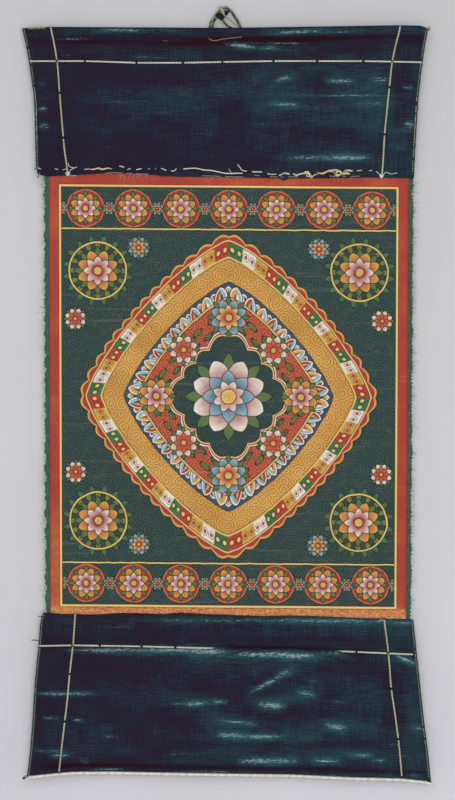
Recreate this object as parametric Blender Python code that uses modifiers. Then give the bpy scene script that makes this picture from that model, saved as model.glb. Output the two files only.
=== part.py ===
"""Hanging scroll painting: a painted canvas sewn between two indigo cotton panels, with couched cords,
a rope along the bottom edge and a cord loop at the top.

Metres, +Z up, the front looks along -Y. The origin is where a nail bears inside the top of the loop.
Tables are in millimetres: x to the right, z up from the nail, "forward" out of the wall's plane towards
the viewer, counted from the plane in which the canvas hangs.
"""

import math

import bmesh
import bpy
import numpy as np
from mathutils import Vector

MM = 0.001
GAP = 0.3  # between pieces that touch

CLOTH_THICK = 1.4
CANVAS_THICK = 1.2
STRIP_THICK = 1.0
COUCHED_RADIUS = 1.1
ROPE_RADIUS = 1.6
ROPE_WAIST = 0.9  # of the two-strand section, between its strands
ROPE_TURN = 19.0  # length of one full turn
ROPE_SIDES = 6
DARK_RADIUS = 1.4
CREAM_RADIUS = 0.9
STITCH_RADIUS = 0.8
KNOT_RADIUS = 0.7

TOP_Z, BOTTOM_Z = -22.0, -920.0
HALF_WIDTH = 245.0
BOW = 3.0  # how far the middle of the height stands off the line from top to bottom
WAVE, WAVE_LENGTH = 1.1, 216.0  # soft folds that run down the hanging
CURL = 3.5  # forward turn of the bottom corners

# Edges: z, left x, right x
UPPER_SIDES = (
    (-21.0, -245.0, 244.0),
    (-33.5, -242.0, 241.5),
    (-64.0, -235.8, 236.6),
    (-112.0, -229.6, 231.3),
    (-181.0, -227.9, 227.2),
    (-193.0, -226.7, 226.6),
    (-204.0, -224.0, 226.2),
)
LOWER_SIDES = (
    (-724.0, -218.5, 224.8),
    (-734.0, -222.0, 225.4),
    (-764.0, -224.4, 228.6),
    (-812.0, -229.2, 233.6),
    (-854.0, -231.6, 238.2),
    (-892.0, -234.6, 243.2),
    (-926.0, -238.8, 246.4),
)
CANVAS_SIDES = ((-191.0, -211.8, 219.7), (-737.0, -210.0, 216.6))
STRIP_SHOWS = 5.6  # width of the strip outside the canvas
STRIP_LAP = 3.5  # width hidden behind the canvas

# Lines across: x, z
UPPER_TOP = ((-245, -22.8), (-210, -21.1), (0, -22.4), (209, -19.2), (234, -19.7), (244, -23.3))
UPPER_SEAM = (
    (-224, -199.1), (-216, -201.5), (-179, -199.7), (-139, -197.3), (-103, -198.5), (-61, -201.5),
    (53, -203.3), (64, -203.6), (70, -206.4), (76, -203.8), (137, -203.3), (167, -202.5), (226, -203.8),
)  # fmt: skip
LOWER_SEAM = (
    (-219, -724.1), (-199, -726.1), (-157, -727.1), (-121, -725.1), (-73, -726.5), (-55, -724.7),
    (-25, -726.3), (44, -728.9), (77, -728.2), (125, -729.5), (149, -730.7), (225, -732.5),
)  # fmt: skip
CREASE = ((-224, -764.7), (-183, -764.1), (-101, -765.5), (-13, -767.7), (145, -771.5), (229, -775.1))
HEM = (
    (-238, -921.2), (-217, -919.1), (-184, -916.2), (-133, -916.2), (-43, -917.7), (77, -919.7),
    (149, -922.7), (209, -923.9), (240, -927.0), (247, -928.4),
)  # fmt: skip
LINES = {
    "top": UPPER_TOP,
    "upper seam": UPPER_SEAM,
    "lower seam": LOWER_SEAM,
    "crease": CREASE,
    "hem": HEM,
}

# Sections: line measured from, drop below it, forward
UPPER_ROWS = (
    ("top", 14.0, -1.3),  # end of the part turned to the back
    ("top", 10.5, -2.0),
    ("top", 6.5, -2.3),
    ("top", 3.2, -2.0),
    ("top", 1.3, -1.0),
    ("top", 0.8, 0.3),
    ("top", 1.7, 1.7),
    ("top", 4.2, 2.6),
    ("top", 8.0, 2.6),
    ("top", 11.5, 1.7),
    ("top", 14.5, 0.7),
    ("top", 18.0, 0.0),
    ("top", 24.0, -0.1),
    ("top", 36.0, 0.5),
    ("top", 58.0, 0.8),
    ("top", 84.0, 0.4),
    ("top", 112.0, 0.0),
    ("upper seam", -42.0, 0.2),
    ("upper seam", -26.0, 0.9),
    ("upper seam", -15.0, 1.8),
    ("upper seam", -6.0, 2.0),
    ("upper seam", 0.0, 1.8),
)
UPPER_FRONT = 6  # first row that faces the viewer

LOWER_LAP_ROWS = (
    ("lower seam", 0.0, 1.8),
    ("lower seam", 7.0, 2.0),
    ("lower seam", 15.0, 2.0),
    ("lower seam", 23.0, 2.2),
)
# The tuck along the crease: drop and forward where it lies open, drop and forward where it is folded
TUCK_ROWS = (
    (-10.0, 2.0, -10.0, 2.2),
    (-5.5, 1.1, -5.5, 1.2),
    (-2.2, -0.1, -2.4, -0.3),
    (0.9, -0.2, 1.2, -0.4),
    (2.4, 0.7, 2.7, 0.6),
    (3.6, 1.7, 3.3, 2.0),
    (4.8, 2.7, 2.7, 3.5),
    (6.2, 3.5, 0.6, 4.2),
    (7.6, 4.0, -1.3, 4.4),
    (9.2, 4.2, -2.2, 5.2),
    (11.0, 4.3, -1.4, 6.2),
    (13.5, 4.2, 2.0, 6.5),
    (17.0, 4.0, 8.0, 6.0),
    (24.0, 3.5, 20.0, 4.8),
    (40.0, 2.8, 40.0, 3.3),
)
TUCK_POCKET = 4  # last row of the tuck that lies behind the cord
# How far the tuck is folded: x, share
TUCK_FOLD = ((-34, 0.0), (-14, 0.85), (0, 1.0), (110, 1.0), (136, 0.85), (158, 0.0))
LOWER_HEM_ROWS = (
    ("hem", -92.0, 2.2),
    ("hem", -68.0, 1.6),
    ("hem", -44.0, 1.2),
    ("hem", -24.0, 1.0),
    ("hem", -13.0, 0.6),
    ("hem", -8.5, 0.2),
    ("hem", -6.0, 1.1),
    ("hem", -3.0, 1.3),
    ("hem", -1.1, 0.9),
    ("hem", -0.8, 0.0),
    ("hem", -1.5, -0.8),
    ("hem", -4.0, -1.1),
    ("hem", -8.0, -1.3),  # end of the part turned to the back
)
LOWER_BACK = 4  # rows at the end that lie behind the hem's front

UPPER_COLUMNS, LOWER_COLUMNS, CANVAS_COLUMNS, CANVAS_ROWS = 22, 24, 14, 18

# Couched cords: x, z
UPPER_ACROSS = ((-235, -63.0), (-168, -62.9), (-107, -64.9), (-51, -64.9), (57, -62.9), (165, -62.9), (235.5, -64.3))
UPPER_LEFT = (
    (-209.5, -23.0), (-202.2, -62.9), (-199.1, -101.3), (-194.6, -155.0), (-193.2, -169.7),
    (-191.0, -184.1), (-189.2, -198.4),
)  # fmt: skip
UPPER_RIGHT = ((209.8, -21.5), (200.2, -63.5), (196.7, -94.8), (191.0, -151.2), (188.4, -191.3), (187.5, -200.4))
LOWER_LEFT = (
    (-180.2, -726.5), (-183.0, -764.4), (-186.9, -798.1), (-189.8, -829.7), (-192.8, -855.2),
    (-196.2, -883.7), (-199.6, -915.0),
)  # fmt: skip
LOWER_RIGHT = (
    (190.2, -733.5), (195.2, -773.0), (198.7, -815.9), (203.4, -847.7), (207.2, -876.4), (211.4, -920.0),
)  # fmt: skip

# Loop cords above the top edge and down behind it: x, z
DARK_OUTER = (
    (-19.4, -35.5), (-19.0, -22.0), (-17.0, -15.5), (-13.0, -8.5), (-7.0, -2.2), (0.0, 1.4), (5.6, -1.8),
    (11.0, -9.2), (15.5, -16.5), (17.8, -22.5), (18.4, -35.5),
)  # fmt: skip
DARK_INNER = (
    (-15.4, -35.0), (-15.2, -22.0), (-13.6, -15.0), (-10.6, -10.6), (-7.4, -9.4), (-4.2, -11.6), (-1.0, -16.4),
    (4.0, -20.6), (9.5, -23.5), (10.6, -34.0),
)  # fmt: skip
CREAM_OUTER = (
    (-22.4, -35.5), (-22.0, -22.0), (-19.8, -14.0), (-15.3, -6.2), (-8.6, 0.4), (0.0, 4.2), (7.9, 0.0),
    (13.5, -7.8), (18.0, -15.4), (20.6, -22.5), (21.2, -35.5),
)  # fmt: skip
CREAM_INNER = ((-3.4, -5.0), (0.0, -8.6), (4.4, -12.0), (10.6, -17.0), (13.6, -22.0), (14.4, -34.5))
KNOT_AT = 0.43  # share of the outer loop cords' length where the knot is tied round both
FRONT_STITCH = ((-20.6, -35.6), (-15.6, -38.0), (-4.2, -36.6), (7.8, -35.2), (19.4, -34.3))

LOOP_BACK = 2.3 + CLOTH_THICK / 2 + GAP + DARK_RADIUS  # loop cords' line behind the canvas's plane

COLOURS = {
    "indigo": ((0.012, 0.030, 0.042), 0.9),
    "canvas_paint": ((0.42, 0.045, 0.028), 0.75),
    "strip_green": ((0.030, 0.085, 0.048), 0.9),
    "cord_cream": ((0.58, 0.52, 0.34), 0.85),
    "rope_cream": ((0.66, 0.60, 0.44), 0.85),
    "loop_dark": ((0.016, 0.030, 0.024), 0.85),
}


def line_z(name, x):
    """Height of one of the lines across at x."""
    xs, zs = np.array(LINES[name], float).T
    return np.interp(x, xs, zs)


def side_x(sides, z, share):
    """x at a share of the width, between the left and right edges at height z."""
    zs, left, right = np.array(sides, float)[::-1].T
    return np.interp(z, zs, left) * (1 - share) + np.interp(z, zs, right) * share


def swell(x, z):
    """Forward swell that all the pieces share: a bow, soft folds that grow downwards, curled bottom corners."""
    down = np.clip((z - TOP_Z) / (BOTTOM_Z - TOP_Z), 0, 1)
    folds = WAVE * math.sqrt(down) * math.sin(2 * math.pi * (x / WAVE_LENGTH + 0.17) + 1.3 * down)
    corners = CURL * down**6 * (x / HALF_WIDTH) ** 2
    return BOW * math.sin(math.pi * down) + folds + corners


def place(x, z, forward):
    """World point of a place on the hanging, with the shared swell."""
    return Vector((x, -(forward + swell(x, z) + LOOP_BACK), z)) * MM


def upper_section(x):
    """(z, forward) of each row of the upper panel at x, from the end turned to the back to the seam."""
    return [(line_z(line, x) - drop, forward) for line, drop, forward in UPPER_ROWS]


def lower_section(x):
    """The same for the lower panel, from its seam over the tuck to the hem turned to the back."""
    fold = np.interp(x, *np.array(TUCK_FOLD, float).T)
    tuck = []
    for open_drop, open_forward, folded_drop, folded_forward in TUCK_ROWS:
        drop = open_drop * (1 - fold) + folded_drop * fold
        tuck.append((line_z("crease", x) - drop, open_forward * (1 - fold) + folded_forward * fold))
    rows = [(line_z(line, x) - drop, forward) for line, drop, forward in LOWER_LAP_ROWS + LOWER_HEM_ROWS]
    return rows[: len(LOWER_LAP_ROWS)] + tuck + rows[len(LOWER_LAP_ROWS) :]


def section_at(sides, section, share):
    """World points down the section at a share of the width, following the slanting sides."""
    points = []
    for row in range(len(section(0.0))):
        x = side_x(sides, section(0.0)[row][0], share)
        x = side_x(sides, section(x)[row][0], share)
        points.append(place(x, *section(x)[row]))
    return points


def sheet(name, columns, thickness, material):
    """A sheet of cloth through columns of points, with its thickness to both sides."""
    mesh = bpy.data.meshes.new(name)
    grid = bmesh.new()
    verts = [[grid.verts.new(point) for point in column] for column in columns]
    for left, right in zip(verts, verts[1:]):
        for row in range(len(left) - 1):
            grid.faces.new((left[row], left[row + 1], right[row + 1], right[row]))
    grid.to_mesh(mesh)
    grid.free()
    mesh.shade_smooth()
    obj = add(name, mesh, material)
    solidify = obj.modifiers.new("Thickness", "SOLIDIFY")
    solidify.thickness = thickness * MM
    solidify.offset = 0
    return obj


def smooth_path(points, spacing):
    """Points about `spacing` apart along a smooth curve through the given ones, ends included."""
    pts = np.array(points, float)
    padded = np.vstack([2 * pts[0] - pts[1], pts, 2 * pts[-1] - pts[-2]])
    path = []
    for a, b, c, d in zip(padded, padded[1:], padded[2:], padded[3:]):
        steps = max(1, round(np.linalg.norm(c - b) / spacing))
        for t in np.arange(steps) / steps:
            path.append(
                0.5 * (2 * b + (c - a) * t + (2 * a - 5 * b + 4 * c - d) * t**2 + (3 * b - 3 * c + d - a) * t**3)
            )
    return np.array(path + [pts[-1]])


def rest_forward(section, x, z, radius, over=()):
    """How far forward the centre of a cord lies at (x, z), resting on the rows of a section and on other cords,
    given as (z, forward, radius). Over those it bends in straight steps, so it keeps twice the gap."""
    reach = radius + GAP + CLOTH_THICK / 2
    highest = -math.inf
    for (z0, f0), (z1, f1) in zip(section, section[1:]):
        steps = max(2, math.ceil(abs(z1 - z0) / 0.5))
        for t in np.linspace(0, 1, steps + 1):
            away = z0 + (z1 - z0) * t - z
            if abs(away) < reach:
                highest = max(highest, f0 + (f1 - f0) * t + math.sqrt(reach**2 - away**2))
    for other_z, other_forward, other_radius in over:
        apart = radius + other_radius + 2 * GAP
        if abs(other_z - z) < apart:
            highest = max(highest, other_forward + math.sqrt(apart**2 - (other_z - z) ** 2))
    return highest


def cord(name, points, radius, material, closed=False):
    """A round cord along world points."""
    curve = bpy.data.curves.new(name, "CURVE")
    curve.dimensions = "3D"
    curve.bevel_depth = radius * MM
    curve.bevel_resolution = 2
    curve.use_fill_caps = not closed
    spline = curve.splines.new("POLY")
    spline.points.add(len(points) - 1)
    for vertex, point in zip(spline.points, points):
        vertex.co = (*point, 1)
    spline.use_cyclic_u = closed
    spline.use_smooth = True
    return add(name, curve, material)


def cord_down(name, table, section, material, over):
    """A couched cord that runs down a panel, over the cords that it crosses."""
    path = []
    for x, z in smooth_path(table, 2.4):
        path.append((x, z, rest_forward(section(x), x, z, COUCHED_RADIUS, [(*o(x), COUCHED_RADIUS) for o in over])))
    kept = [path[0]]
    for before, here, after in zip(path, path[1:], path[2:]):
        bend = abs(before[2] + after[2] - 2 * here[2])
        if bend > 0.06 or math.dist(kept[-1][:2], here[:2]) > 12:
            kept.append(here)
    kept.append(path[-1])
    return cord(name, [place(*p) for p in kept], COUCHED_RADIUS, material)


def rope(name, points, material):
    """A two-strand rope: a section with a waist, turned by one of its sides from each point to the next."""
    profile = bpy.data.curves.new(f"{name}_section", "CURVE")
    outline = profile.splines.new("POLY")
    outline.points.add(ROPE_SIDES - 1)
    for i, vertex in enumerate(outline.points):
        angle = -2 * math.pi * i / ROPE_SIDES
        radius = (ROPE_RADIUS + ROPE_WAIST) / 2 + (ROPE_RADIUS - ROPE_WAIST) / 2 * math.cos(2 * angle)
        vertex.co = (radius * math.cos(angle) * MM, radius * math.sin(angle) * MM, 0, 1)
    outline.use_cyclic_u = True
    guide = bpy.data.objects.new(profile.name, profile)
    guide.hide_render = True
    guides.objects.link(guide)
    obj = cord(name, points, 0, material)
    obj.data.bevel_mode = "OBJECT"
    obj.data.bevel_object = guide
    for i, vertex in enumerate(obj.data.splines[0].points):
        vertex.tilt = 2 * math.pi / ROPE_SIDES * i
    return obj


def principled(name, colour, roughness):
    material = bpy.data.materials.new(name)
    material.use_nodes = True
    shader = material.node_tree.nodes["Principled BSDF"]
    shader.inputs["Base Color"].default_value = (*colour, 1)
    shader.inputs["Roughness"].default_value = roughness
    return material


def add(name, data, material):
    obj = bpy.data.objects.new(name, data)
    data.materials.append(material)
    parts.objects.link(obj)
    return obj


def make_panels(mats):
    shares = np.linspace(0, 1, UPPER_COLUMNS + 1)
    sheet(
        "upper_cloth", [section_at(UPPER_SIDES, upper_section, s) for s in shares], CLOTH_THICK, mats["indigo"]
    )
    # Extra columns where the tuck closes and opens.
    shares = np.sort(np.append(np.linspace(0, 1, LOWER_COLUMNS + 1), [0.442, 0.475, 0.788, 0.812, 0.838]))
    sheet(
        "lower_cloth", [section_at(LOWER_SIDES, lower_section, s) for s in shares], CLOTH_THICK, mats["indigo"]
    )


def make_canvas(mats):
    top, bottom = CANVAS_SIDES[0][0], CANVAS_SIDES[1][0]
    heights = np.linspace(top, bottom, CANVAS_ROWS + 1)
    columns = [
        [place(side_x(CANVAS_SIDES, z, share), z, 0) for z in heights]
        for share in np.linspace(0, 1, CANVAS_COLUMNS + 1)
    ]
    sheet("painted_canvas", columns, CANVAS_THICK, mats["canvas_paint"])
    behind = -(CANVAS_THICK / 2 + GAP + STRIP_THICK / 2)
    for name, edge, sign in (("side_strip_left", 0, -1), ("side_strip_right", 1, 1)):
        across = sorted((-STRIP_LAP * sign, STRIP_SHOWS * sign))
        columns = [[place(side_x(CANVAS_SIDES, z, edge) + dx, z, behind) for z in heights] for dx in across]
        sheet(name, columns, STRIP_THICK, mats["strip_green"])


def upper_across_at(x):
    z = np.interp(x, *np.array(UPPER_ACROSS, float).T)
    return z, rest_forward(upper_section(x)[UPPER_FRONT:], x, z, COUCHED_RADIUS)


def lower_across_at(x):
    """The cord in the crease, which runs behind the tuck where that is folded."""
    z = line_z("crease", x)
    return z, rest_forward(lower_section(x)[: len(LOWER_LAP_ROWS) + TUCK_POCKET], x, z, COUCHED_RADIUS)


def make_couched_cords(mats):
    cream = mats["cord_cream"]
    across = np.linspace(UPPER_ACROSS[0][0], UPPER_ACROSS[-1][0], 33)
    cord("cord_upper_across", [place(x, *upper_across_at(x)) for x in across], COUCHED_RADIUS, cream)
    across = np.linspace(CREASE[0][0] + 0.5, CREASE[-1][0] - 0.5, 33)
    cord("cord_lower_across", [place(x, *lower_across_at(x)) for x in across], COUCHED_RADIUS, cream)

    def upper_front(x):
        return upper_section(x)[UPPER_FRONT:]

    def lower_front(x):
        return lower_section(x)[:-LOWER_BACK]

    cord_down("cord_upper_left", UPPER_LEFT, upper_front, cream, [upper_across_at])
    cord_down("cord_upper_right", UPPER_RIGHT, upper_front, cream, [upper_across_at])
    cord_down("cord_lower_left", LOWER_LEFT, lower_front, cream, [lower_across_at])
    cord_down("cord_lower_right", LOWER_RIGHT, lower_front, cream, [lower_across_at])


def make_bottom_rope(mats):
    step = ROPE_TURN / ROPE_SIDES
    xs = np.arange(HEM[0][0] + 2, HEM[-1][0] - 1, step)
    rope("bottom_rope", [place(x, line_z("hem", x) - GAP - ROPE_RADIUS, 0.2) for x in xs], mats["rope_cream"])


def make_loop(mats):
    """Cords that come up behind the top edge, arch over the nail and are tied together near the top."""

    def path(table, spacing=3.0):
        return [Vector((x, 0, z)) * MM for x, z in smooth_path(table, spacing)]

    cord("loop_dark_outer", path(DARK_OUTER), DARK_RADIUS, mats["loop_dark"])
    cord("loop_dark_inner", path(DARK_INNER), DARK_RADIUS, mats["loop_dark"])
    cord("loop_cream_outer", path(CREAM_OUTER), CREAM_RADIUS, mats["cord_cream"])
    cord("loop_cream_inner", path(CREAM_INNER), CREAM_RADIUS, mats["cord_cream"])

    fine = path(DARK_OUTER, 0.5), path(CREAM_OUTER, 0.5)
    inner = fine[0][round(KNOT_AT * (len(fine[0]) - 1))]
    outer = min(fine[1], key=lambda p: (p - inner).length)
    outwards = (outer - inner).normalized()
    ring = []
    for centre, radius, turn in ((inner, DARK_RADIUS, math.pi), (outer, CREAM_RADIUS, 0)):
        reach = (radius + GAP + KNOT_RADIUS) * MM
        for angle in np.linspace(turn - math.pi / 2, turn + math.pi / 2, 7):
            ring.append(centre + reach * (math.cos(angle) * outwards + math.sin(angle) * Vector((0, 1, 0))))
    cord("loop_knot", ring, KNOT_RADIUS, mats["cord_cream"], closed=True)

    stitch = []
    for x, z in smooth_path(FRONT_STITCH, 3.0):
        stitch.append(place(x, z, rest_forward(upper_section(x)[UPPER_FRONT:], x, z, STITCH_RADIUS)))
    cord("loop_front_stitch", stitch, STITCH_RADIUS, mats["cord_cream"])


for old in list(bpy.data.objects):
    bpy.data.objects.remove(old)
parts = bpy.data.collections.new("hanging_scroll")
guides = bpy.data.collections.new("guides")
for collection in (parts, guides):
    bpy.context.scene.collection.children.link(collection)
materials = {name: principled(name, *look) for name, look in COLOURS.items()}
make_panels(materials)
make_canvas(materials)
make_couched_cords(materials)
make_bottom_rope(materials)
make_loop(materials)
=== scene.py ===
"""The looks of the hanging scroll painting.

Tables and sections are in millimetres, as on the cutting table: x to the right, z up from the nail, "forward"
out of the plane in which the canvas hangs, towards the viewer. Everything else is in metres.
"""

import math

import bpy
import numpy as np
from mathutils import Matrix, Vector


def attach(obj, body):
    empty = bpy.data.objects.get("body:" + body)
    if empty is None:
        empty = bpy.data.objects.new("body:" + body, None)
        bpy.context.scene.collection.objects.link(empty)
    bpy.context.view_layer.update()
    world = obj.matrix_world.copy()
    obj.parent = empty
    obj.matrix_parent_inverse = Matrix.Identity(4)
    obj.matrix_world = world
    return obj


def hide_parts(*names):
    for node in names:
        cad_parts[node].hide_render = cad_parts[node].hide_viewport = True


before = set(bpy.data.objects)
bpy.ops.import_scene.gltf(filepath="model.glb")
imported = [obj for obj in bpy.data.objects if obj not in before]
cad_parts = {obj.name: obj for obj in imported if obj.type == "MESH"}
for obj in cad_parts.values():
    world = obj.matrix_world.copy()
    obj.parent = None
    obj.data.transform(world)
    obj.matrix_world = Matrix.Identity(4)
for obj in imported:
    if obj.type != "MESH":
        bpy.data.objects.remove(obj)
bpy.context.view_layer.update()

MM = 0.001

# Node trees written as expressions


def operator(operation, swapped=False):
    """An operator that adds a Math node to the tree of the value it works on."""

    def apply(value, other):
        return value.graph.math(operation, *((other, value) if swapped else (value, other)))

    return apply


class Value:
    """An output socket that can be used in an expression."""

    __add__ = __radd__ = operator("ADD")
    __mul__ = __rmul__ = operator("MULTIPLY")
    __sub__, __rsub__ = operator("SUBTRACT"), operator("SUBTRACT", swapped=True)
    __truediv__, __rtruediv__ = operator("DIVIDE"), operator("DIVIDE", swapped=True)
    __pow__ = operator("POWER")

    def __init__(self, graph, socket):
        self.graph, self.socket = graph, socket

    def math(self, operation, *others):
        return self.graph.math(operation, self, *others)

    def __neg__(self):
        return self * -1

    def __abs__(self):
        return self.math("ABSOLUTE")

    def sine(self):
        return self.math("SINE")

    def cosine(self):
        return self.math("COSINE")

    def angle_from(self, x):
        """The angle of (x, this) about the origin."""
        return self.math("ARCTAN2", x)

    def fraction(self):
        return self.math("FRACT")

    def under(self, limit):
        """1 where it is less, otherwise 0."""
        return self.math("LESS_THAN", limit)


class Graph:
    """A node tree that is written node by node."""

    def __init__(self, tree):
        self.tree = tree

    def node(self, kind, inputs=None, output=0, stops=None, **settings):
        """Adds a node: its settings first, then the values or links of its inputs, by name or place."""
        node = self.tree.nodes.new(kind)
        for name, setting in settings.items():
            setattr(node, name, setting)
        if stops:
            ramp = node.color_ramp.elements
            while len(ramp) < len(stops):
                ramp.new(0.5)
            for element, (position, colour) in zip(ramp, stops):
                element.position, element.color = position, (*colour, 1)
        for key, value in (inputs or {}).items():
            if isinstance(value, Value):
                self.tree.links.new(value.socket, node.inputs[key])
            else:
                node.inputs[key].default_value = value
        return Value(self, node.outputs[output]) if len(node.outputs) else node

    def math(self, operation, *values):
        return self.node("ShaderNodeMath", dict(enumerate(values)), operation=operation)

    def most(self, first, second):
        return self.math("MAXIMUM", first, second)

    def ramp(self, value, start, end, low=0.0, high=1.0):
        """Low at start, high at end, level beyond both."""
        return self.node("ShaderNodeMapRange", {0: value, 1: start, 2: end, 3: low, 4: high})

    def vector(self, x=0.0, y=0.0, z=0.0):
        return self.node("ShaderNodeCombineXYZ", {0: x, 1: y, 2: z})

    def parts(self, vector):
        return [self.node("ShaderNodeSeparateXYZ", {0: vector}, output=i) for i in range(2)]

    def length(self, x, y):
        return self.node("ShaderNodeVectorMath", {0: self.vector(x, y)}, output=1, operation="LENGTH")

    def mix(self, share, first, second, blend="MIX"):
        """Colour between first and second. Share 1 is all second."""
        inputs = {0: share, 6: rgba(first), 7: rgba(second)}
        return self.node("ShaderNodeMix", inputs, output=2, data_type="RGBA", blend_type=blend)

    def noise(self, vector, scale, detail=2.0, roughness=0.5):
        inputs = {"Vector": vector, "Scale": scale, "Detail": detail, "Roughness": roughness}
        return self.node("ShaderNodeTexNoise", inputs)

    def clouds(self, x, y, across, down, layer=0.0, detail=3, roughness=0.6):
        """Noise with a scale of its own each way. Each layer is another pattern."""
        return self.noise(self.vector(x * across, y * down, layer), 1, detail, roughness)

    def weave(self, x, y, across, down):
        """The height of a plain weave whose threads lie so many millimetres apart."""
        return (x * (math.tau / across)).sine() * (y * (math.tau / down)).sine()


def rgba(colour):
    return colour if isinstance(colour, Value) else (*colour, 1)


class Finish(Graph):
    """A material that is written as an expression of places on the piece."""

    def __init__(self, name):
        self.material = bpy.data.materials.new(name)
        self.material.use_nodes = True
        super().__init__(self.material.node_tree)
        self.tree.nodes.clear()

    def place(self):
        """Object coordinates, in metres."""
        return self.node("ShaderNodeTexCoord", output=3)

    def cloth(self):
        """(across, down) on the flat cloth, in millimetres, from its own UV map."""
        across, down = self.parts(self.node("ShaderNodeUVMap", uv_map="cloth"))
        return across * 1000, down * 1000

    def mark(self, name):
        """A number that the mesh carries at its points."""
        return self.node("ShaderNodeAttribute", output=2, attribute_name=name)

    def bump(self, height, distance, strength=1.0, under=None):
        inputs = {"Strength": strength, "Distance": distance, "Height": height}
        if under:
            inputs["Normal"] = under
        return self.node("ShaderNodeBump", inputs)

    def shade(self, colour, roughness, normal=None, specular=0.3):
        inputs = {"Base Color": rgba(colour), "Roughness": roughness, "Specular IOR Level": specular}
        if normal:
            inputs["Normal"] = normal
        shader = self.node("ShaderNodeBsdfPrincipled", inputs)
        self.node("ShaderNodeOutputMaterial", {0: shader})
        return self.material


# The cut and fold of the cloth

TOP_Z, BOTTOM_Z = -22.0, -920.0
HALF_WIDTH = 245.0
BOW = 3.0  # how far the middle of the height stands off the line from top to bottom
WAVE, WAVE_LENGTH = 1.1, 216.0  # soft folds that run down the hanging
CURL = 3.5  # forward turn of the bottom corners
HEM_BACK, CAD_CLOTH, GAP = 2.3, 1.4, 0.3
DARK_RADIUS, CREAM_RADIUS, KNOT_RADIUS = 1.4, 0.85, 0.85
# From the loop's plane, which holds the nail, forward to the canvas's
LOOP_BACK = HEM_BACK + CAD_CLOTH / 2 + GAP + DARK_RADIUS

CLOTH_THICK, CANVAS_THICK, STRIP_THICK = 1.0, 0.8, 0.8
CORD_RADIUS, ROPE_RADIUS = 1.15, 1.6

# Edges: z, left x, right x
UPPER_SIDES = (
    (-21.0, -245.0, 244.0), (-33.5, -242.0, 241.5), (-64.0, -235.8, 236.6), (-112.0, -229.6, 231.3),
    (-181.0, -227.9, 227.2), (-193.0, -226.7, 226.6), (-204.0, -224.0, 226.2),
)  # fmt: skip
LOWER_SIDES = (
    (-724.0, -218.5, 224.8), (-734.0, -222.0, 225.4), (-764.0, -224.4, 228.6), (-812.0, -229.2, 233.6),
    (-854.0, -231.6, 238.2), (-892.0, -234.6, 243.2), (-926.0, -238.8, 246.4),
)  # fmt: skip
CANVAS_SIDES = ((-191.0, -211.8, 219.7), (-737.0, -210.0, 216.6))
STRIP_SHOWS, STRIP_LAP = 5.6, 3.5

# Lines across: x, z
LINES = {
    "top": ((-245, -22.8), (-210, -21.1), (0, -22.4), (209, -19.2), (234, -19.7), (244, -23.3)),
    "upper seam": (
        (-224, -199.1), (-216, -201.5), (-179, -199.7), (-139, -197.3), (-103, -198.5), (-61, -201.5),
        (53, -203.3), (64, -203.6), (70, -206.4), (76, -203.8), (137, -203.3), (167, -202.5), (226, -203.8),
    ),
    "lower seam": (
        (-219, -724.1), (-199, -726.1), (-157, -727.1), (-121, -725.1), (-73, -726.5), (-55, -724.7),
        (-25, -726.3), (44, -728.9), (77, -728.2), (125, -729.5), (149, -730.7), (225, -732.5),
    ),
    "crease": ((-224, -764.7), (-183, -764.1), (-101, -765.5), (-13, -767.7), (145, -771.5), (229, -775.1)),
    "hem": (
        (-238, -921.2), (-217, -919.1), (-184, -916.2), (-133, -916.2), (-43, -917.7), (77, -919.7),
        (149, -922.7), (209, -923.9), (240, -927.0), (247, -928.4),
    ),
}  # fmt: skip

# Sections from the back over the fold: the line that rows are measured from, then each row's drop below it
# and its forward
UPPER_ROWS = (
    (
        "top", (14.0, -1.3), (10.5, -2.0), (6.5, -2.3), (3.2, -2.0), (1.3, -1.0), (0.8, 0.3), (1.7, 1.7),
        (4.2, 2.9), (8.0, 3.3), (11.5, 2.7), (14.0, 0.9), (17.0, -0.5), (23.0, -0.5), (36.0, 0.5),
        (58.0, 0.8), (84.0, 0.4), (112.0, 0.0),
    ),
    ("upper seam", (-42.0, 0.2), (-26.0, 0.9), (-15.0, 1.8), (-6.0, 2.0), (0.0, 1.8)),
)  # fmt: skip
UPPER_FRONT = 6  # first row in front
LOWER_LAP_ROWS = (
    ("lower seam", (0.0, 1.8), (7.0, 2.0), (15.0, 2.0), (23.0, 2.2)),
)  # fmt: skip
# The tuck along the crease: drop and forward where it lies open, drop and forward where it is folded
TUCK_ROWS = (
    (-10.0, 2.0, -10.0, 2.2), (-5.5, 1.1, -5.5, 1.2), (-2.2, -0.1, -2.4, -0.3), (0.9, -0.2, 1.2, -0.4),
    (2.4, 0.7, 2.7, 0.6), (3.6, 1.7, 3.3, 2.0), (4.8, 2.7, 2.7, 3.5), (6.2, 3.5, 0.6, 4.2),
    (7.6, 4.0, -1.3, 4.4), (9.2, 4.2, -2.2, 5.2), (11.0, 4.3, -1.4, 6.2), (13.5, 4.2, 2.0, 6.5),
    (17.0, 4.0, 8.0, 6.0), (24.0, 3.5, 20.0, 4.8), (40.0, 2.8, 40.0, 3.3),
)  # fmt: skip
TUCK_POCKET = 8  # rows from the seam to the bottom of the tuck
# How far the tuck is folded along the width: x, share
TUCK_FOLD = ((-34, 0.0), (-14, 0.85), (0, 1.0), (110, 1.0), (136, 0.85), (158, 0.0))
LOWER_HEM_ROWS = (
    (
        "hem", (-92.0, 2.2), (-68.0, 1.6), (-44.0, 1.2), (-24.0, 1.0), (-13.0, 0.6), (-8.5, 0.2), (-6.0, 1.1),
        (-3.0, 1.3), (-1.1, 0.9), (-0.8, 0.0), (-1.5, -0.8), (-4.0, -1.1), (-8.0, -1.3),
    ),
)  # fmt: skip
LOWER_BACK = 4  # last rows, at the back


def line_z(name, x):
    xs, zs = np.array(LINES[name], float).T
    return np.interp(x, xs, zs)


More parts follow.
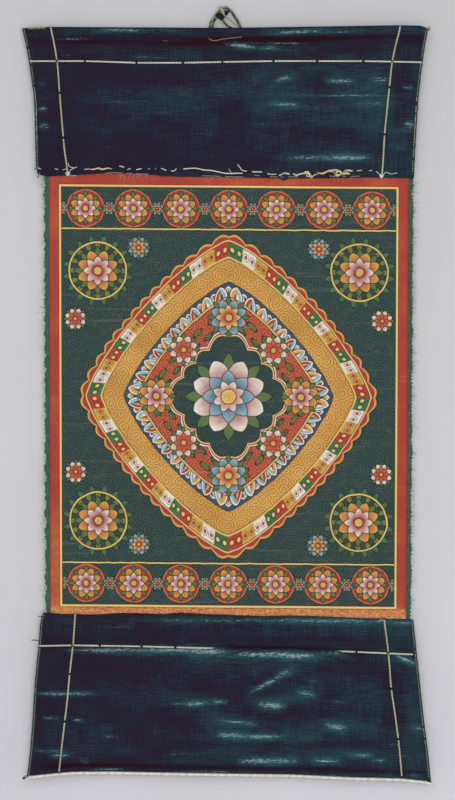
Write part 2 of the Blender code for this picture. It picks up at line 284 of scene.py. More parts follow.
def side_x(sides, z, share):
    zs, left, right = np.array(sides, float)[::-1].T
    return np.interp(z, zs, left) * (1 - share) + np.interp(z, zs, right) * share


def swell(x, z):
    down = np.clip((z - TOP_Z) / (BOTTOM_Z - TOP_Z), 0, 1)
    folds = WAVE * np.sqrt(down) * np.sin(2 * np.pi * (x / WAVE_LENGTH + 0.17) + 1.3 * down)
    corners = CURL * down**6 * (x / HALF_WIDTH) ** 2
    return BOW * np.sin(np.pi * down) + folds + corners


def place(x, z, forward):
    """World points of places on the hanging, numbers or arrays, with the shared swell."""
    return np.stack(np.broadcast_arrays(x, -(forward + swell(x, z) + LOOP_BACK), z), -1) * MM


def rows_at(table, x):
    """(z, forward) of a section's rows at x."""
    return [(line_z(line, x) - drop, forward) for line, *rows in table for drop, forward in rows]


def upper_section(x):
    return rows_at(UPPER_ROWS, x)


def lower_section(x):
    fold = np.interp(x, *np.array(TUCK_FOLD, float).T)
    tuck = []
    for open_drop, open_forward, folded_drop, folded_forward in TUCK_ROWS:
        drop = open_drop * (1 - fold) + folded_drop * fold
        tuck.append((line_z("crease", x) - drop, open_forward * (1 - fold) + folded_forward * fold))
    return rows_at(LOWER_LAP_ROWS, x) + tuck + rows_at(LOWER_HEM_ROWS, x)


def through(points, steps):
    """A smooth curve through points, with its own number of steps in each gap. Ends included."""
    p = np.array(points, float)
    gap = np.maximum(np.linalg.norm(np.diff(p, axis=0), axis=1), 1e-6)[:, None]
    slope = np.diff(p, axis=0) / gap
    inner = (slope[:-1] * gap[1:] + slope[1:] * gap[:-1]) / (gap[:-1] + gap[1:])
    tangent = np.vstack([slope[:1], inner, slope[-1:]])
    out = []
    for i, count in enumerate(steps):
        t = (np.arange(count) / count)[:, None]
        out.append(
            (2 * t**3 - 3 * t**2 + 1) * p[i]
            + (t**3 - 2 * t**2 + t) * gap[i] * tangent[i]
            + (3 * t**2 - 2 * t**3) * p[i + 1]
            + (t**3 - t**2) * gap[i] * tangent[i + 1]
        )
    return np.vstack([*out, p[-1:]])


def steps_for(points, spacing, least=1):
    gaps = np.linalg.norm(np.diff(np.array(points, float), axis=0), axis=1)
    return [max(least, math.ceil(g / spacing)) for g in gaps]


def rest_forward(section, z, radius, over=(), sink=0.1):
    """How far forward a cord's centre lies at a height, resting on a section of cloth and on other cords,
    which are given as (z, forward, radius)."""
    reach = radius + CLOTH_THICK / 2 - sink
    zs, fs = np.array(section, float).T
    t = np.linspace(0, 1, 12)
    z_on = (zs[:-1, None] + np.diff(zs)[:, None] * t).ravel()
    f_on = (fs[:-1, None] + np.diff(fs)[:, None] * t).ravel()
    away = z_on - z
    near = np.abs(away) < reach
    highest = (f_on[near] + np.sqrt(reach**2 - away[near] ** 2)).max() if near.any() else fs[0] + reach
    for other_z, other_forward, other_radius in over:
        apart = radius + other_radius
        if abs(other_z - z) < apart:
            highest = max(highest, other_forward + math.sqrt(apart**2 - (other_z - z) ** 2))
    return highest


# What lies on the cloth

# Soft spots: x, z, half length, half width, strength and, where it isn't 0, turn in degrees.
# Ridges and troughs, whose strength is their height:
CREASES = (
    (-69, -26, 120, 5.0, 0.25), (60, -44, 46, 3.2, 0.55, -4), (-60, -52, 80, 5.0, -0.35, 2),
    (69, -84, 16, 3.6, 0.5, 16), (140, -87, 26, 4.0, 0.5), (-110, -100, 60, 6.0, 0.35, -6),
    (-30, -118, 70, 7.0, -0.4, 5), (71, -115, 30, 4.0, 0.45, -3), (176, -114, 28, 5.0, 0.45, 2),
    (-150, -146, 70, 8.0, -0.6, 4), (40, -139, 40, 4.0, 0.35), (120, -179, 62, 5.0, 0.8),
    (-70, -168, 70, 6.0, 0.45, -3), (-215, -130, 10, 22.0, 0.5), (0, -190, 235, 4.0, 0.35),
    (-60, -282, 170, 2.6, 0.35, 1), (60, -343, 180, 2.2, -0.3, -1), (-20, -398, 190, 2.4, 0.35),
    (30, -462, 190, 2.2, 0.3, 1), (-40, -517, 180, 2.6, -0.3), (20, -571, 190, 2.2, 0.35, -1),
    (0, -628, 190, 2.6, 0.35), (-60, -684, 150, 3.0, 0.4, 1), (30, -737, 200, 4.0, 0.5),
    (-67, -771, 110, 3.4, 0.5), (-45, -800, 90, 6.0, -0.6, 8), (49, -810, 30, 4.0, 0.7, 30),
    (104, -806, 10, 9.0, 0.5, 40), (56, -836, 34, 5.0, 0.8, -4), (-30, -833, 44, 4.0, 0.6, 2),
    (-194, -822, 36, 3.4, 0.55), (150, -815, 60, 7.0, -0.5, -6), (24, -857, 40, 4.0, 0.6, -3),
    (4, -874, 40, 5.0, 0.6), (-120, -866, 60, 6.0, -0.5, 6), (138, -862, 26, 6.0, 0.7, -6),
    (-205, -892, 30, 4.0, 0.5), (90, -889, 90, 5.0, -0.5, 1), (60, -903, 60, 5.0, 0.6),
    (165, -898, 40, 5.0, 0.6, 4), (-60, -904, 60, 5.0, 0.4, -2), (216, -781, 20, 5.0, 0.6, -24),
)  # fmt: skip

# Pale streaks: worn indigo, and painted highlight on the top fold, the tuck's ridge and the lower seam:
WORN_AND_HIGHLIT = (
    (-124, -26, 30, 1.9, 0.75), (-69, -26, 19, 1.6, 0.35), (88, -28, 33, 2.5, 0.7, 3),
    (144, -28, 19, 1.9, 0.4), (-183, -36, 24, 1.3, 0.5), (-61, -38, 22, 1.3, 0.4),
    (19, -44, 18, 2.9, 0.95, -6), (54, -47, 11, 1.9, 0.7), (66, -41, 25, 0.8, 0.9),
    (-94, -58, 29, 2.5, 0.35), (69, -84, 11, 2.2, 0.8, 16), (138, -87, 16, 2.5, 0.75),
    (185, -85, 13, 7.0, 0.45), (71, -115, 19, 2.5, 0.7, -3), (119, -118, 22, 2.2, 0.3),
    (176, -114, 25, 3.8, 0.4), (103, -179, 35, 3.2, 0.6), (150, -179, 22, 3.2, 0.85),
    (-220, -120, 6, 2.9, 0.7), (-218, -141, 6, 3.8, 0.6), (-220, -90, 4, 2.5, 0.4),
    (52, -139, 19, 1.9, 0.35), (-69, -125, 22, 1.9, 0.25), (-126, -112, 22, 1.9, 0.3),
    (-193, -55, 13, 1.6, 0.3), (-24, -150, 19, 1.6, 0.25), (208, -166, 10, 2.5, 0.35),
    (-142, -166, 25, 1.6, 0.2), (140, -104, 70, 0.9, 0.55), (221, -139, 6, 3.0, 0.9),
    (219, -95, 7, 2.0, 0.6), (214, -147, 12, 1.4, 0.4, -4), (-141, -770, 45, 2.9, 0.8),
    (-67, -770, 29, 2.9, 0.95), (-22, -771, 22, 3.9, 1.0), (43, -774.6, 35, 3.4, 0.9),
    (88, -776.2, 22, 3.2, 1.0), (129, -773, 14, 2.6, 0.6), (216, -781, 14, 2.9, 0.95, -24),
    (49, -810, 22, 2.9, 0.75, 30), (73, -796, 10, 3.2, 0.5, 20), (-36, -834, 14, 2.6, 0.95, 4),
    (-7, -832, 9, 2.2, 0.95), (-59, -834, 7, 1.6, 0.5), (56, -836, 15, 4.2, 1.0, -5),
    (97, -822, 11, 3.9, 0.6, -10), (104, -806, 6, 5.1, 0.35, 40), (-194, -822, 32, 1.9, 0.85),
    (-211, -851, 11, 1.6, 0.6), (-177, -854, 6, 1.3, 0.75), (11, -856, 19, 1.9, 0.7, -4),
    (31, -859, 7, 1.6, 0.6), (4, -872, 16, 2.9, 0.95), (43, -874, 24, 2.6, 0.95),
    (133, -862, 14, 4.2, 0.85, -6), (-198, -896, 11, 1.9, 0.8), (-208, -890, 22, 1.9, 0.45),
    (-169, -904, 6, 2.6, 0.5), (36, -903, 19, 3.5, 0.95), (70, -903, 16, 3.2, 0.8),
    (120, -903, 16, 3.2, 0.85), (162, -896, 13, 2.2, 0.75), (184, -902, 10, 2.2, 0.5),
    (232, -864, 8, 2.6, 0.6, -10), (-137, -874, 8, 1.9, 0.45), (213, -896, 7, 1.6, 0.45),
    (136, -832, 8, 1.6, 0.45), (203, -883, 6, 1.6, 0.4), (11, -734, 129, 2.9, 0.4),
    (139, -735, 58, 2.6, 0.55), (219, -737, 19, 2.2, 0.6), (-128, -742, 19, 1.3, 0.35),
    (-141, -913, 19, 1.3, 0.7), (-22, -916, 48, 1.3, 0.5), (107, -920, 64, 1.3, 0.3),
    (229, -920, 8, 2.2, 0.4), (-54, -895, 19, 1.9, 0.3),
)  # fmt: skip

# Purple-black: painted shade under the top fold, in the tuck and above the hem; elsewhere dark patches:
SHADE_AND_DARK_SPOTS = (
    (-190, -39, 60, 4, 1.0), (-60, -40, 110, 5, 1.1), (-10, -38, 60, 5, 0.9, 2),
    (120, -35, 120, 3.2, 1.2, 1), (228, -38, 18, 5, 0.9), (70, -39, 60, 4, 0.9, 3),
    (-120, -168, 90, 16, 0.5, 2), (-200, -110, 26, 60, 0.3), (-40, -186, 110, 7, 0.4),
    (-150, -190, 80, 9, 0.4), (150, -150, 70, 9, 0.3, -3), (212, -100, 10, 60, 0.3),
    (-100, -80, 90, 12, 0.3), (-20, -52, 60, 5, 0.4), (130, -92, 30, 6, 0.5, 2), (150, -47, 60, 8, 0.5),
    (30, -57, 50, 5, 0.35), (8, -145, 20, 36, 0.4), (113, -88, 7, 10, 0.4), (0, -757, 220, 5, 0.4, -0.5),
    (55, -768.2, 84, 2.0, 1.5, -1.5), (-90, -768, 90, 1.0, 0.8, -0.8), (-190, -790, 60, 16, 0.5),
    (-140, -792, 70, 8, 0.3, 3), (150, -792, 50, 10, 0.5), (-20, -814, 50, 6, 0.4, 5),
    (100, -848, 60, 7, 0.4), (-110, -850, 70, 10, 0.4), (-20, -884, 80, 5, 0.5), (120, -884, 60, 5, 0.6),
    (60, -820, 50, 4, 0.4), (-130, -909, 110, 3.3, 1.2, -0.6), (-216, -913, 26, 3.0, 0.8, 9),
    (60, -912.5, 120, 2.9, 1.1, -0.8), (200, -916, 60, 2.2, 0.7, -1.5), (-150, -905, 60, 5, 0.5, 4),
    (-225, -880, 8, 30, 0.3), (200, -836, 14, 40, 0.3),
)  # fmt: skip

# Broad blue-green places; those on the top fold and along the lower seam are painted highlight:
TEAL = (
    (-131, -27, 70, 4, 0.5), (-41, -29, 40, 4, 0.3), (-230, -61, 12, 10, 0.4), (-189, -50, 40, 4, 0.4),
    (-33, -52, 44, 6, 0.5), (-90, -98, 50, 10, 0.5), (-16, -98, 44, 18, 0.6), (-164, -108, 40, 12, 0.3),
    (-82, -118, 60, 8, 0.4), (-214, -118, 12, 24, 0.5), (-60, -152, 60, 14, 0.3), (80, -48, 60, 5, 0.5),
    (136, -57, 16, 2.5, 0.7), (60, -92, 32, 24, 0.7), (150, -96, 38, 18, 0.7), (70, -122, 40, 10, 0.4),
    (120, -140, 50, 10, 0.3), (180, -140, 22, 26, 0.6), (208, -150, 14, 30, 0.4), (30, -80, 30, 8, 0.3),
    (-178, -868, 40, 14, 0.5), (-156, -888, 50, 10, 0.5), (-217, -891, 22, 12, 0.5),
    (-140, -825, 50, 8, 0.3), (-57, -799, 40, 9, 0.4), (-8, -855, 30, 12, 0.5), (-3, -883, 34, 14, 0.6),
    (-49, -828, 40, 11, 0.5), (-16, -783, 50, 6, 0.5), (87, -825, 25, 9, 0.9), (92, -876, 26, 20, 0.9),
    (49, -792, 60, 8, 0.5), (148, -861, 34, 8, 0.6), (161, -892, 40, 11, 0.6), (227, -858, 12, 50, 0.5),
    (32, -884, 45, 10, 0.5), (16, -858, 40, 8, 0.3), (20, -735, 200, 5, 0.4), (180, -740, 40, 6, 0.4),
    (-60, -904, 60, 3, 0.5),
)  # fmt: skip


def spread(table, x, z, longer=1.0, wider=1.0):
    """Sum of soft spots, each longer than it is wide."""
    total = np.zeros(np.broadcast(x, z).shape)
    for cx, cz, long, wide, strength, *turn in table:
        c, s = math.cos(math.radians(sum(turn))), math.sin(math.radians(sum(turn)))
        along, across = (x - cx) * c + (z - cz) * s, (z - cz) * c - (x - cx) * s
        total += strength * np.exp(-np.abs(along / long / longer) ** 3 - (across / wide / wider) ** 2)
    return total


# Fine ripples: turns per millimetre across and down, and start
rng = np.random.default_rng(11)
RIPPLES = [(*rng.uniform((-0.05, 0.03), (0.05, 0.14)), rng.uniform(0, 6.28)) for _ in range(14)]
RIPPLE_HEIGHT = 0.045


def relief(x, z):
    """Creases and fine ripples in the hanging cloth. None where the loop's cords lie behind the hem."""
    calm = 1 - np.exp(-((x / 34) ** 2) - ((z - TOP_Z) / 22) ** 2)
    ripple = sum(np.sin(kx * x + kz * z + turn) for kx, kz, turn in RIPPLES)
    return calm * (spread(CREASES, x, z) + RIPPLE_HEIGHT * ripple)


def hung(x, z, forward):
    """World points of places on the hanging, with its swell and its relief."""
    return place(x, z, forward + relief(x, z))


# Mesh and curve makers


def link(obj):
    bpy.context.collection.objects.link(obj)
    return obj


def curve_through(name, paths, sizes=None):
    curve = bpy.data.curves.new(name, "CURVE")
    curve.dimensions = "3D"
    for path, size in zip(paths, sizes or [1.0] * len(paths)):
        spline = curve.splines.new("POLY")
        spline.points.add(len(path) - 1)
        spline.points.foreach_set("co", np.column_stack([path, np.ones(len(path))]).ravel())
        spline.points.foreach_set("radius", [size] * len(path))
    return link(bpy.data.objects.new(name, curve))


class Recipe(Graph):
    """A Geometry Nodes tree with named inputs."""

    KINDS = {float: "NodeSocketFloat", int: "NodeSocketInt", str: "NodeSocketMaterial"}

    def __init__(self, name, **inputs):
        super().__init__(bpy.data.node_groups.new(name, "GeometryNodeTree"))
        sockets = self.tree.interface
        sockets.new_socket("Geometry", in_out="OUTPUT", socket_type="NodeSocketGeometry")
        sockets.new_socket("Geometry", in_out="INPUT", socket_type="NodeSocketGeometry")
        for key, value in {**inputs, "material": ""}.items():
            socket = sockets.new_socket(key, in_out="INPUT", socket_type=self.KINDS[type(value)])
            if key != "material":
                socket.default_value = value
        self.inputs = self.tree.nodes.new("NodeGroupInput")

    def given(self, name):
        return Value(self, self.inputs.outputs[name])

    def ring(self, sides, radius):
        return self.node("GeometryNodeCurvePrimitiveCircle", {"Resolution": sides, "Radius": radius})

    def spaced(self, spacing):
        """The input's curves, with points a given length apart."""
        inputs = {0: self.given("Geometry"), "Length": self.given(spacing)}
        return self.node("GeometryNodeResampleCurve", inputs, mode="LENGTH")

    def swept(self, path, section, scale=1.0):
        """A section along a path, closed at its ends."""
        inputs = {0: path, 1: section, "Scale": scale, "Fill Caps": True}
        return self.node("GeometryNodeCurveToMesh", inputs)

    def chance(self, kind, output, inputs, step=0):
        """A random value for each point."""
        inputs["Seed"] = self.given("seed") + step if step else self.given("seed")
        return self.node("FunctionNodeRandomValue", inputs, output=output, data_type=kind)

    def finish(self, geometry):
        """Ends the tree: real geometry with its material."""
        real = self.node("GeometryNodeRealizeInstances", {0: geometry})
        smooth = self.node("GeometryNodeSetShadeSmooth", {0: real})
        done = self.node("GeometryNodeSetMaterial", {0: smooth, "Material": self.given("material")})
        self.node("NodeGroupOutput", {0: done})
        return self

    def make(self, obj, **values):
        """Runs the tree on an object and gives the result as a plain mesh object of the same name."""
        modifier = obj.modifiers.new("recipe", "NODES")
        modifier.node_group = self.tree
        for socket in self.tree.interface.items_tree:
            if socket.in_out == "INPUT" and socket.name in values:
                modifier[socket.identifier] = values[socket.name]
        name, depsgraph = obj.name, bpy.context.evaluated_depsgraph_get()
        mesh = bpy.data.meshes.new_from_object(obj.evaluated_get(depsgraph))
        obj.modifiers.remove(modifier)
        bpy.data.objects.remove(obj)
        mesh.name = name
        return link(bpy.data.objects.new(name, mesh))


def cord_recipe():
    """Strands that wind round each other along a curve."""
    r = Recipe("plied_cord", strands=2, radius=1.0, turn=7.0, spacing=0.8, sides=8)
    radius, strands = r.given("radius"), r.given("strands")
    # The strands' centres lie on a circle on which neighbours just touch. Each is then made a little thicker.
    half_step = math.pi / strands
    sine = half_step.sine()
    strand = radius * sine / (sine + 1) * 1.08
    angle = r.node("GeometryNodeInputIndex") * half_step * 2
    centre = r.vector(angle.cosine() * (radius - strand), angle.sine() * (radius - strand))
    spots = r.node("GeometryNodePoints", {"Count": strands, "Position": centre})
    rings = {"Points": spots, "Instance": r.ring(r.given("sides"), strand)}
    section = r.node("GeometryNodeRealizeInstances", {0: r.node("GeometryNodeInstanceOnPoints", rings)})
    ply = {0: section, "Name": "ply", "Value": r.node("GeometryNodeInputIndex")}
    section = r.node("GeometryNodeStoreNamedAttribute", ply, data_type="FLOAT", domain="CURVE")
    along = r.node("GeometryNodeSplineParameter", output=1)
    tilt = along / r.given("turn") * math.tau
    path = r.node("GeometryNodeSetCurveTilt", {0: r.spaced("spacing"), "Tilt": tilt})
    return r.finish(r.swept(path, section))


def thread_recipe():
    """A single round thread along each curve, its radius times the curve's own."""
    r = Recipe("round_thread", radius=0.5, sides=6)
    ring = r.ring(r.given("sides"), r.given("radius"))
    return r.finish(r.swept(r.given("Geometry"), ring, r.node("GeometryNodeInputRadius")))


def stitch_row_recipe():
    """Short stitches along each curve, a little uneven, each one a bent thread that dips into the cloth."""
    r = Recipe("stitch_row", pitch=3.3, length=1.7, radius=0.3, seed=1)
    length, radius = r.given("length"), r.given("radius")
    low, high = radius * -1.2, radius * 0.9
    shape = {"Start": (-0.5, low), "Start Handle": (-0.4, high), "End Handle": (0.4, high), "End": (0.5, low)}
    bend = {key: r.vector(length * x, 0, z) for key, (x, z) in shape.items()}
    bend = r.node("GeometryNodeCurvePrimitiveBezierSegment", {"Resolution": 5, **bend}, mode="POSITION")
    stitch = r.swept(bend, r.ring(5, radius))
    # x along the curve, z out of the cloth
    align = "FunctionNodeAlignRotationToVector"
    turn = r.node(align, {"Vector": r.node("GeometryNodeInputTangent")}, axis="X")
    turn = r.node(align, {"Rotation": turn, "Vector": r.vector(0, -1, 0)}, axis="Z", pivot_axis="X")
    skew = r.chance("FLOAT_VECTOR", 0, {"Min": (0, 0, -0.3), "Max": (0, 0, 0.3)})
    skew = r.node("FunctionNodeEulerToRotation", {0: skew})
    turn = r.node("FunctionNodeRotateRotation", {0: turn, 1: skew}, rotation_space="LOCAL")
    size = r.chance("FLOAT", 1, {2: 0.75, 3: 1.15}, 1)
    pick = r.chance("BOOLEAN", 3, {"Probability": 0.95}, 2)
    row = {"Points": r.spaced("pitch"), "Selection": pick, "Instance": stitch, "Rotation": turn}
    row["Scale"] = r.vector(size, 1, 1)
    return r.finish(r.node("GeometryNodeInstanceOnPoints", row))


# Cloth pieces

PANEL_COLUMNS, CANVAS_COLUMNS, CANVAS_ROWS, STRIP_COLUMNS, STRIP_ROWS = 211, 145, 221, 8, 261
EDGE_WAVES = 6
# The painting's own frame on the canvas: its width, the height of its middle, the slant of its cut
PICTURE_WIDTH, PICTURE_MIDDLE, PICTURE_SLANT = 430, 465.6, 0.0083


def rough_edge(share, width, down, amount, seed):
    """Sideways unevenness of raw edges, fading out within a few millimetres of them."""
    edge_rng = np.random.default_rng(seed)
    shift = 0.0
    for side in (0, 1):
        for _ in range(EDGE_WAVES):
            pitch, start = edge_rng.uniform(0.08, 1.1), edge_rng.uniform(0, 6.28)
            from_edge = np.abs(share - side) * width
            shift = shift + np.sin(pitch * down + start) * np.exp(-from_edge / 3.0)
    return shift * amount / 2.5


def woven(name, points, across, down, marks, thickness, *materials):
    """A fine sheet through a grid of points, columns by rows. Its UV map is the flat cloth, in metres, and it
    carries numbers for its materials at its points."""
    columns, rows = points.shape[:2]
    index = np.arange(columns * rows).reshape(columns, rows)
    quads = np.stack([index[:-1, :-1], index[:-1, 1:], index[1:, 1:], index[1:, :-1]], -1).reshape(-1, 4)
    mesh = bpy.data.meshes.new(name)
    mesh.from_pydata(points.reshape(-1, 3).tolist(), [], quads.tolist())
    mesh.shade_smooth()
    uv = np.stack([across, down], -1).reshape(-1, 2)[quads.ravel()] * MM
    mesh.uv_layers.new(name="cloth").data.foreach_set("uv", uv.ravel().astype(np.float32))
    for mark, values in marks.items():
        attribute = mesh.attributes.new(mark, "FLOAT", "POINT")
        attribute.data.foreach_set("value", values.ravel().astype(np.float32))
    for material in materials:
        mesh.materials.append(material)
    obj = link(bpy.data.objects.new(name, mesh))
    solidify = obj.modifiers.new("thickness", "SOLIDIFY")
    solidify.thickness, solidify.offset = thickness * MM, 0
    solidify.material_offset = len(materials) - 1
    return obj


def panel(name, sides, section, seed, *materials):
    """A cloth panel on its folded section, with worn, purple-black and blue-green places, partly painted
    highlight and painted shade.
    """
    shares = np.linspace(0, 1, PANEL_COLUMNS)
    steps, columns = None, []
    for share in shares:
        rows = []
        for row in range(len(section(0.0))):
            x = 0.0
            for _ in range(2):
                x = side_x(sides, section(x)[row][0], share)
            rows.append((x, *section(x)[row]))
        steps = steps or steps_for(rows, 2.0, 3)
        columns.append(through(rows, steps))
    x, z, forward = np.moveaxis(np.array(columns), 2, 0)
    # The weft runs level on the flat cloth, so every column takes its lengths from the last. It has no tuck.
    step = np.hypot(np.diff(z[-1]), np.diff(forward[-1]))
    down = np.broadcast_to(np.concatenate([[0.0], np.cumsum(step)]), x.shape)
    across = x.copy()
    x = x + rough_edge(shares[:, None], 2 * HALF_WIDTH, down, 0.16, seed)
    # Pale places are wear and painted highlight; purple-black ones are painted shade and dark patches
    marks = {
        "worn": spread(WORN_AND_HIGHLIT, x, z, 0.95, 0.72),
        "faded_and_highlit": spread(WORN_AND_HIGHLIT, x, z, 1.2, 1.9),
        "shade_and_dark": spread(SHADE_AND_DARK_SPOTS, x, z),
        "teal": spread(TEAL, x, z),
        "inwards": np.minimum(shares, 1 - shares)[:, None] * 2 * HALF_WIDTH + 0 * z,
    }
    return woven(name, hung(x, z, forward), across, down, marks, CLOTH_THICK, *materials)


def painted_canvas(*materials):
    heights = np.linspace(CANVAS_SIDES[0][0], CANVAS_SIDES[1][0], CANVAS_ROWS)
    share, z = np.meshgrid(np.linspace(0, 1, CANVAS_COLUMNS), heights, indexing="ij")
    x = side_x(CANVAS_SIDES, z, share)
    # The painted lines run level with the canvas's own slightly slanting cut.
    across, down = (share - 0.5) * PICTURE_WIDTH, z + PICTURE_MIDDLE + PICTURE_SLANT * x
    points = hung(x + rough_edge(share, PICTURE_WIDTH, z, 0.15, 5), z, 0)
    return woven("canvas", points, across, down, {}, CANVAS_THICK, *materials)


def side_strip(name, edge, seed, material):
    """A strip behind the canvas, at its left edge, 0, or its right, 1."""
    sign = 2 * edge - 1
    heights = np.linspace(CANVAS_SIDES[0][0], CANVAS_SIDES[1][0], STRIP_ROWS)
    ends = sorted((-STRIP_LAP * sign, STRIP_SHOWS * sign))
    across, z = np.meshgrid(np.linspace(*ends, STRIP_COLUMNS), heights, indexing="ij")
    inner = 1 - np.clip(sign * across / STRIP_SHOWS, 0, 1)
    fine = rough_edge(inner, STRIP_SHOWS, z * 1.4, 0.9, seed)
    coarse = rough_edge(inner, STRIP_SHOWS, z * 0.35, 0.6, seed + 1)
    x = side_x(CANVAS_SIDES, z, edge) + across + (fine + coarse)
    behind = -(CANVAS_THICK + STRIP_THICK) / 2 - 0.1
    return woven(name, hung(x, z, behind), across, -z, {}, STRIP_THICK, material)


# Cords and threads

UPPER_ACROSS = (
    (-235, -63.0), (-168, -62.9), (-107, -64.9), (-51, -64.9), (57, -62.9), (165, -62.9), (235.5, -64.3),
)  # fmt: skip
# Where dark ties hold the cords that run across
TIES_UPPER = (-202.6, -168.6, -106.6, -51.0, -3.6, 57.7, 110.2, 165.5, 200.2)
TIES_LOWER = (-183.4, -150.6, -100.8, -60.0, 157.2, 195.2, 226.5)
# Knots where cords end, and the loose tails there
KNOTS = ((-189.2, -198.5), (187.2, -201.2))
TAILS = (
    ((-189.0, -198.5), (-184.2, -200.4), (-179.4, -200.0)),
    ((-189.0, -198.5), (-185.4, -193.7), (-180.6, -191.3), (-178.2, -190.1)),
    ((-189.0, -185.3), (-187.2, -189.5), (-180.6, -191.3)),
    ((187.2, -200.9), (183.0, -197.3), (180.6, -195.5)),
    ((187.8, -200.9), (192.6, -196.7), (198.6, -198.5), (205.8, -197.3)),
    ((183.6, -735.5), (186.1, -733.4), (189.0, -733.7)),
    ((193.8, -730.7), (197.4, -731.8), (201.0, -730.7)),
)  # fmt: skip
# Yarn of the upper seam: radius, then points along each stitch
SEAM_STITCHES = (
    (0.5, ((-225.0, -191.3), (-221.4, -192.5))), (0.5, ((-204.6, -192.5), (-201.0, -193.1))),
    (0.5, ((-195.0, -193.7), (-191.2, -192.5))), (0.5, ((-169.2, -193.1), (-163.6, -192.5))),
    (0.8, ((-126.8, -189.2), (-122.2, -190.2))), (0.5, ((-117.6, -193.4), (-113.8, -191.8))),
    (0.6, ((-106.7, -193.4), (-100.8, -192.2))), (0.35, ((-93.0, -193.0), (-90.8, -191.8))),
    (0.3, ((-84.4, -192.8), (-83.4, -191.4))), (0.6, ((-77.0, -191.8), (-71.3, -194.2))),
    (0.6, ((-65.0, -194.8), (-62.4, -195.2), (-58.9, -192.2))),
    (0.78, ((-50.5, -192.6), (-42.5, -192.0), (-34.4, -192.0), (-26.4, -193.8), (-16.7, -194.6),
            (-8.7, -196.2), (-0.7, -197.8), (5.8, -198.2), (12.2, -197.8), (20.2, -197.8))),
    (0.3, ((4.1, -192.2), (5.0, -194.6), (7.2, -197.2))),
    (0.55, ((14.6, -187.3), (17.0, -190.5), (20.2, -194.2), (25.4, -195.4))),
    (0.8, ((32.3, -196.0), (37.9, -196.2), (43.5, -196.2))),
    (0.7, ((50.4, -198.2), (54.0, -199.0), (60.6, -198.8))), (0.5, ((158.1, -194.8), (163.6, -194.2))),
    (0.45, ((172.2, -194.6), (175.8, -194.2))),
)  # fmt: skip
# Places where the yarn has frayed open: fibres, looseness, then points along it
FRAYED_YARN = (
    (6, 0.40, ((-165.0, -192.4), (-158.0, -193.0), (-152.6, -191.8), (-148.0, -193.0), (-141.0, -191.8),
               (-134.6, -192.6))),
    (5, 0.45, ((62.1, -199.5), (65.0, -200.0), (69.5, -197.9), (76.9, -198.8))),
    (6, 0.45, ((81.0, -198.4), (84.7, -200.4), (89.8, -198.8), (95.6, -197.7), (99.8, -197.0))),
    (9, 0.95, ((94.6, -196.4), (98.4, -197.6), (101.0, -201.6), (103.4, -202.4))),
    (4, 0.30, ((98.0, -195.0), (101.4, -198.6), (104.3, -201.3), (107.2, -199.5), (110.8, -198.4))),
    (6, 0.50, ((109.6, -196.6), (113.7, -197.7), (118.8, -197.3), (123.2, -195.1), (126.8, -195.5),
               (131.0, -197.2))),
    (5, 0.45, ((122.0, -195.8), (126.0, -194.2), (131.6, -194.4), (136.8, -195.2))),
    (8, 0.40, ((133.0, -194.6), (132.4, -198.6), (135.6, -200.2), (138.6, -197.6), (136.2, -195.0),
               (133.2, -196.4))),
    (6, 0.45, ((137.8, -198.0), (142.0, -198.2), (145.4, -198.0), (149.8, -199.8))),
    (5, 0.40, ((141.6, -197.0), (144.2, -195.2), (147.6, -194.3), (152.6, -195.2))),
)  # fmt: skip
# Pale threads along the panel's turned lower edge
EDGE_THREADS = (
    ((-144.0, -197.4), (-134.0, -196.8), (-123.0, -197.4)), ((-119.0, -197.6), (-111.0, -197.9)),
    ((-108.0, -198.2), (-92.8, -198.7)), ((-28.0, -200.8), (-18.0, -201.0), (-5.6, -201.4)),
    ((-0.7, -201.6), (10.0, -201.9), (21.2, -202.2)), ((34.7, -200.2), (41.0, -200.6)),
    ((53.4, -201.8), (63.0, -202.0)), ((66.0, -202.2), (69.6, -202.6)), ((75.4, -202.0), (87.0, -202.2)),
    ((124.6, -201.0), (132.0, -201.4)), ((139.8, -200.8), (143.6, -201.4)),
    ((150.6, -201.4), (161.0, -201.0)),
)  # fmt: skip


def upper_front(x):
    return upper_section(x)[UPPER_FRONT:]


def lower_front(x):
    return lower_section(x)[:-LOWER_BACK]


def upper_across_at(x):
    z = np.interp(x, *np.array(UPPER_ACROSS, float).T)
    return z, rest_forward(upper_front(x), z, CORD_RADIUS)


def lower_across_at(x):
    z = line_z("crease", x)
    return z, rest_forward(lower_section(x)[:TUCK_POCKET], z, CORD_RADIUS)


# Cords that run down: their panel's front, the cord that they cross, the heights of their ties, their path
DOWN_CORDS = {
    "upper_left": (upper_front, upper_across_at, (-101.3, -155.0), (
        (-209.5, -23.0), (-202.2, -62.9), (-199.1, -101.3), (-194.6, -155.0), (-193.2, -169.7),
        (-191.0, -184.1), (-189.2, -198.4),
    )),
    "upper_right": (upper_front, upper_across_at, (-94.8, -151.2), (
        (209.8, -21.5), (200.2, -63.5), (196.7, -94.8), (191.0, -151.2), (188.4, -191.3), (187.5, -200.4),
    )),
    "lower_left": (lower_front, lower_across_at, (-798.1, -855.2), (
        (-180.2, -726.5), (-183.0, -764.4), (-186.9, -798.1), (-189.8, -829.7), (-192.8, -855.2),
        (-196.2, -883.7), (-199.6, -915.0),
    )),
    "lower_right": (lower_front, lower_across_at, (-815.9, -876.4), (
        (190.2, -733.5), (195.2, -773.0), (198.7, -815.9), (203.4, -847.7), (207.2, -876.4), (211.4, -920.0),
    )),
}  # fmt: skip


def curve_points(table, spacing=1.5):
    return through(table, steps_for(table, spacing, 2))


def across_path(at, start, end):
    return [(x, *at(x)) for x in np.linspace(start, end, 240)]


def down_path(table, front, crossed):
    path = []
    for x, z in curve_points(table):
        path.append((x, z, rest_forward(front(x), z, CORD_RADIUS, [(*crossed(x), CORD_RADIUS * 0.8)])))
    return path


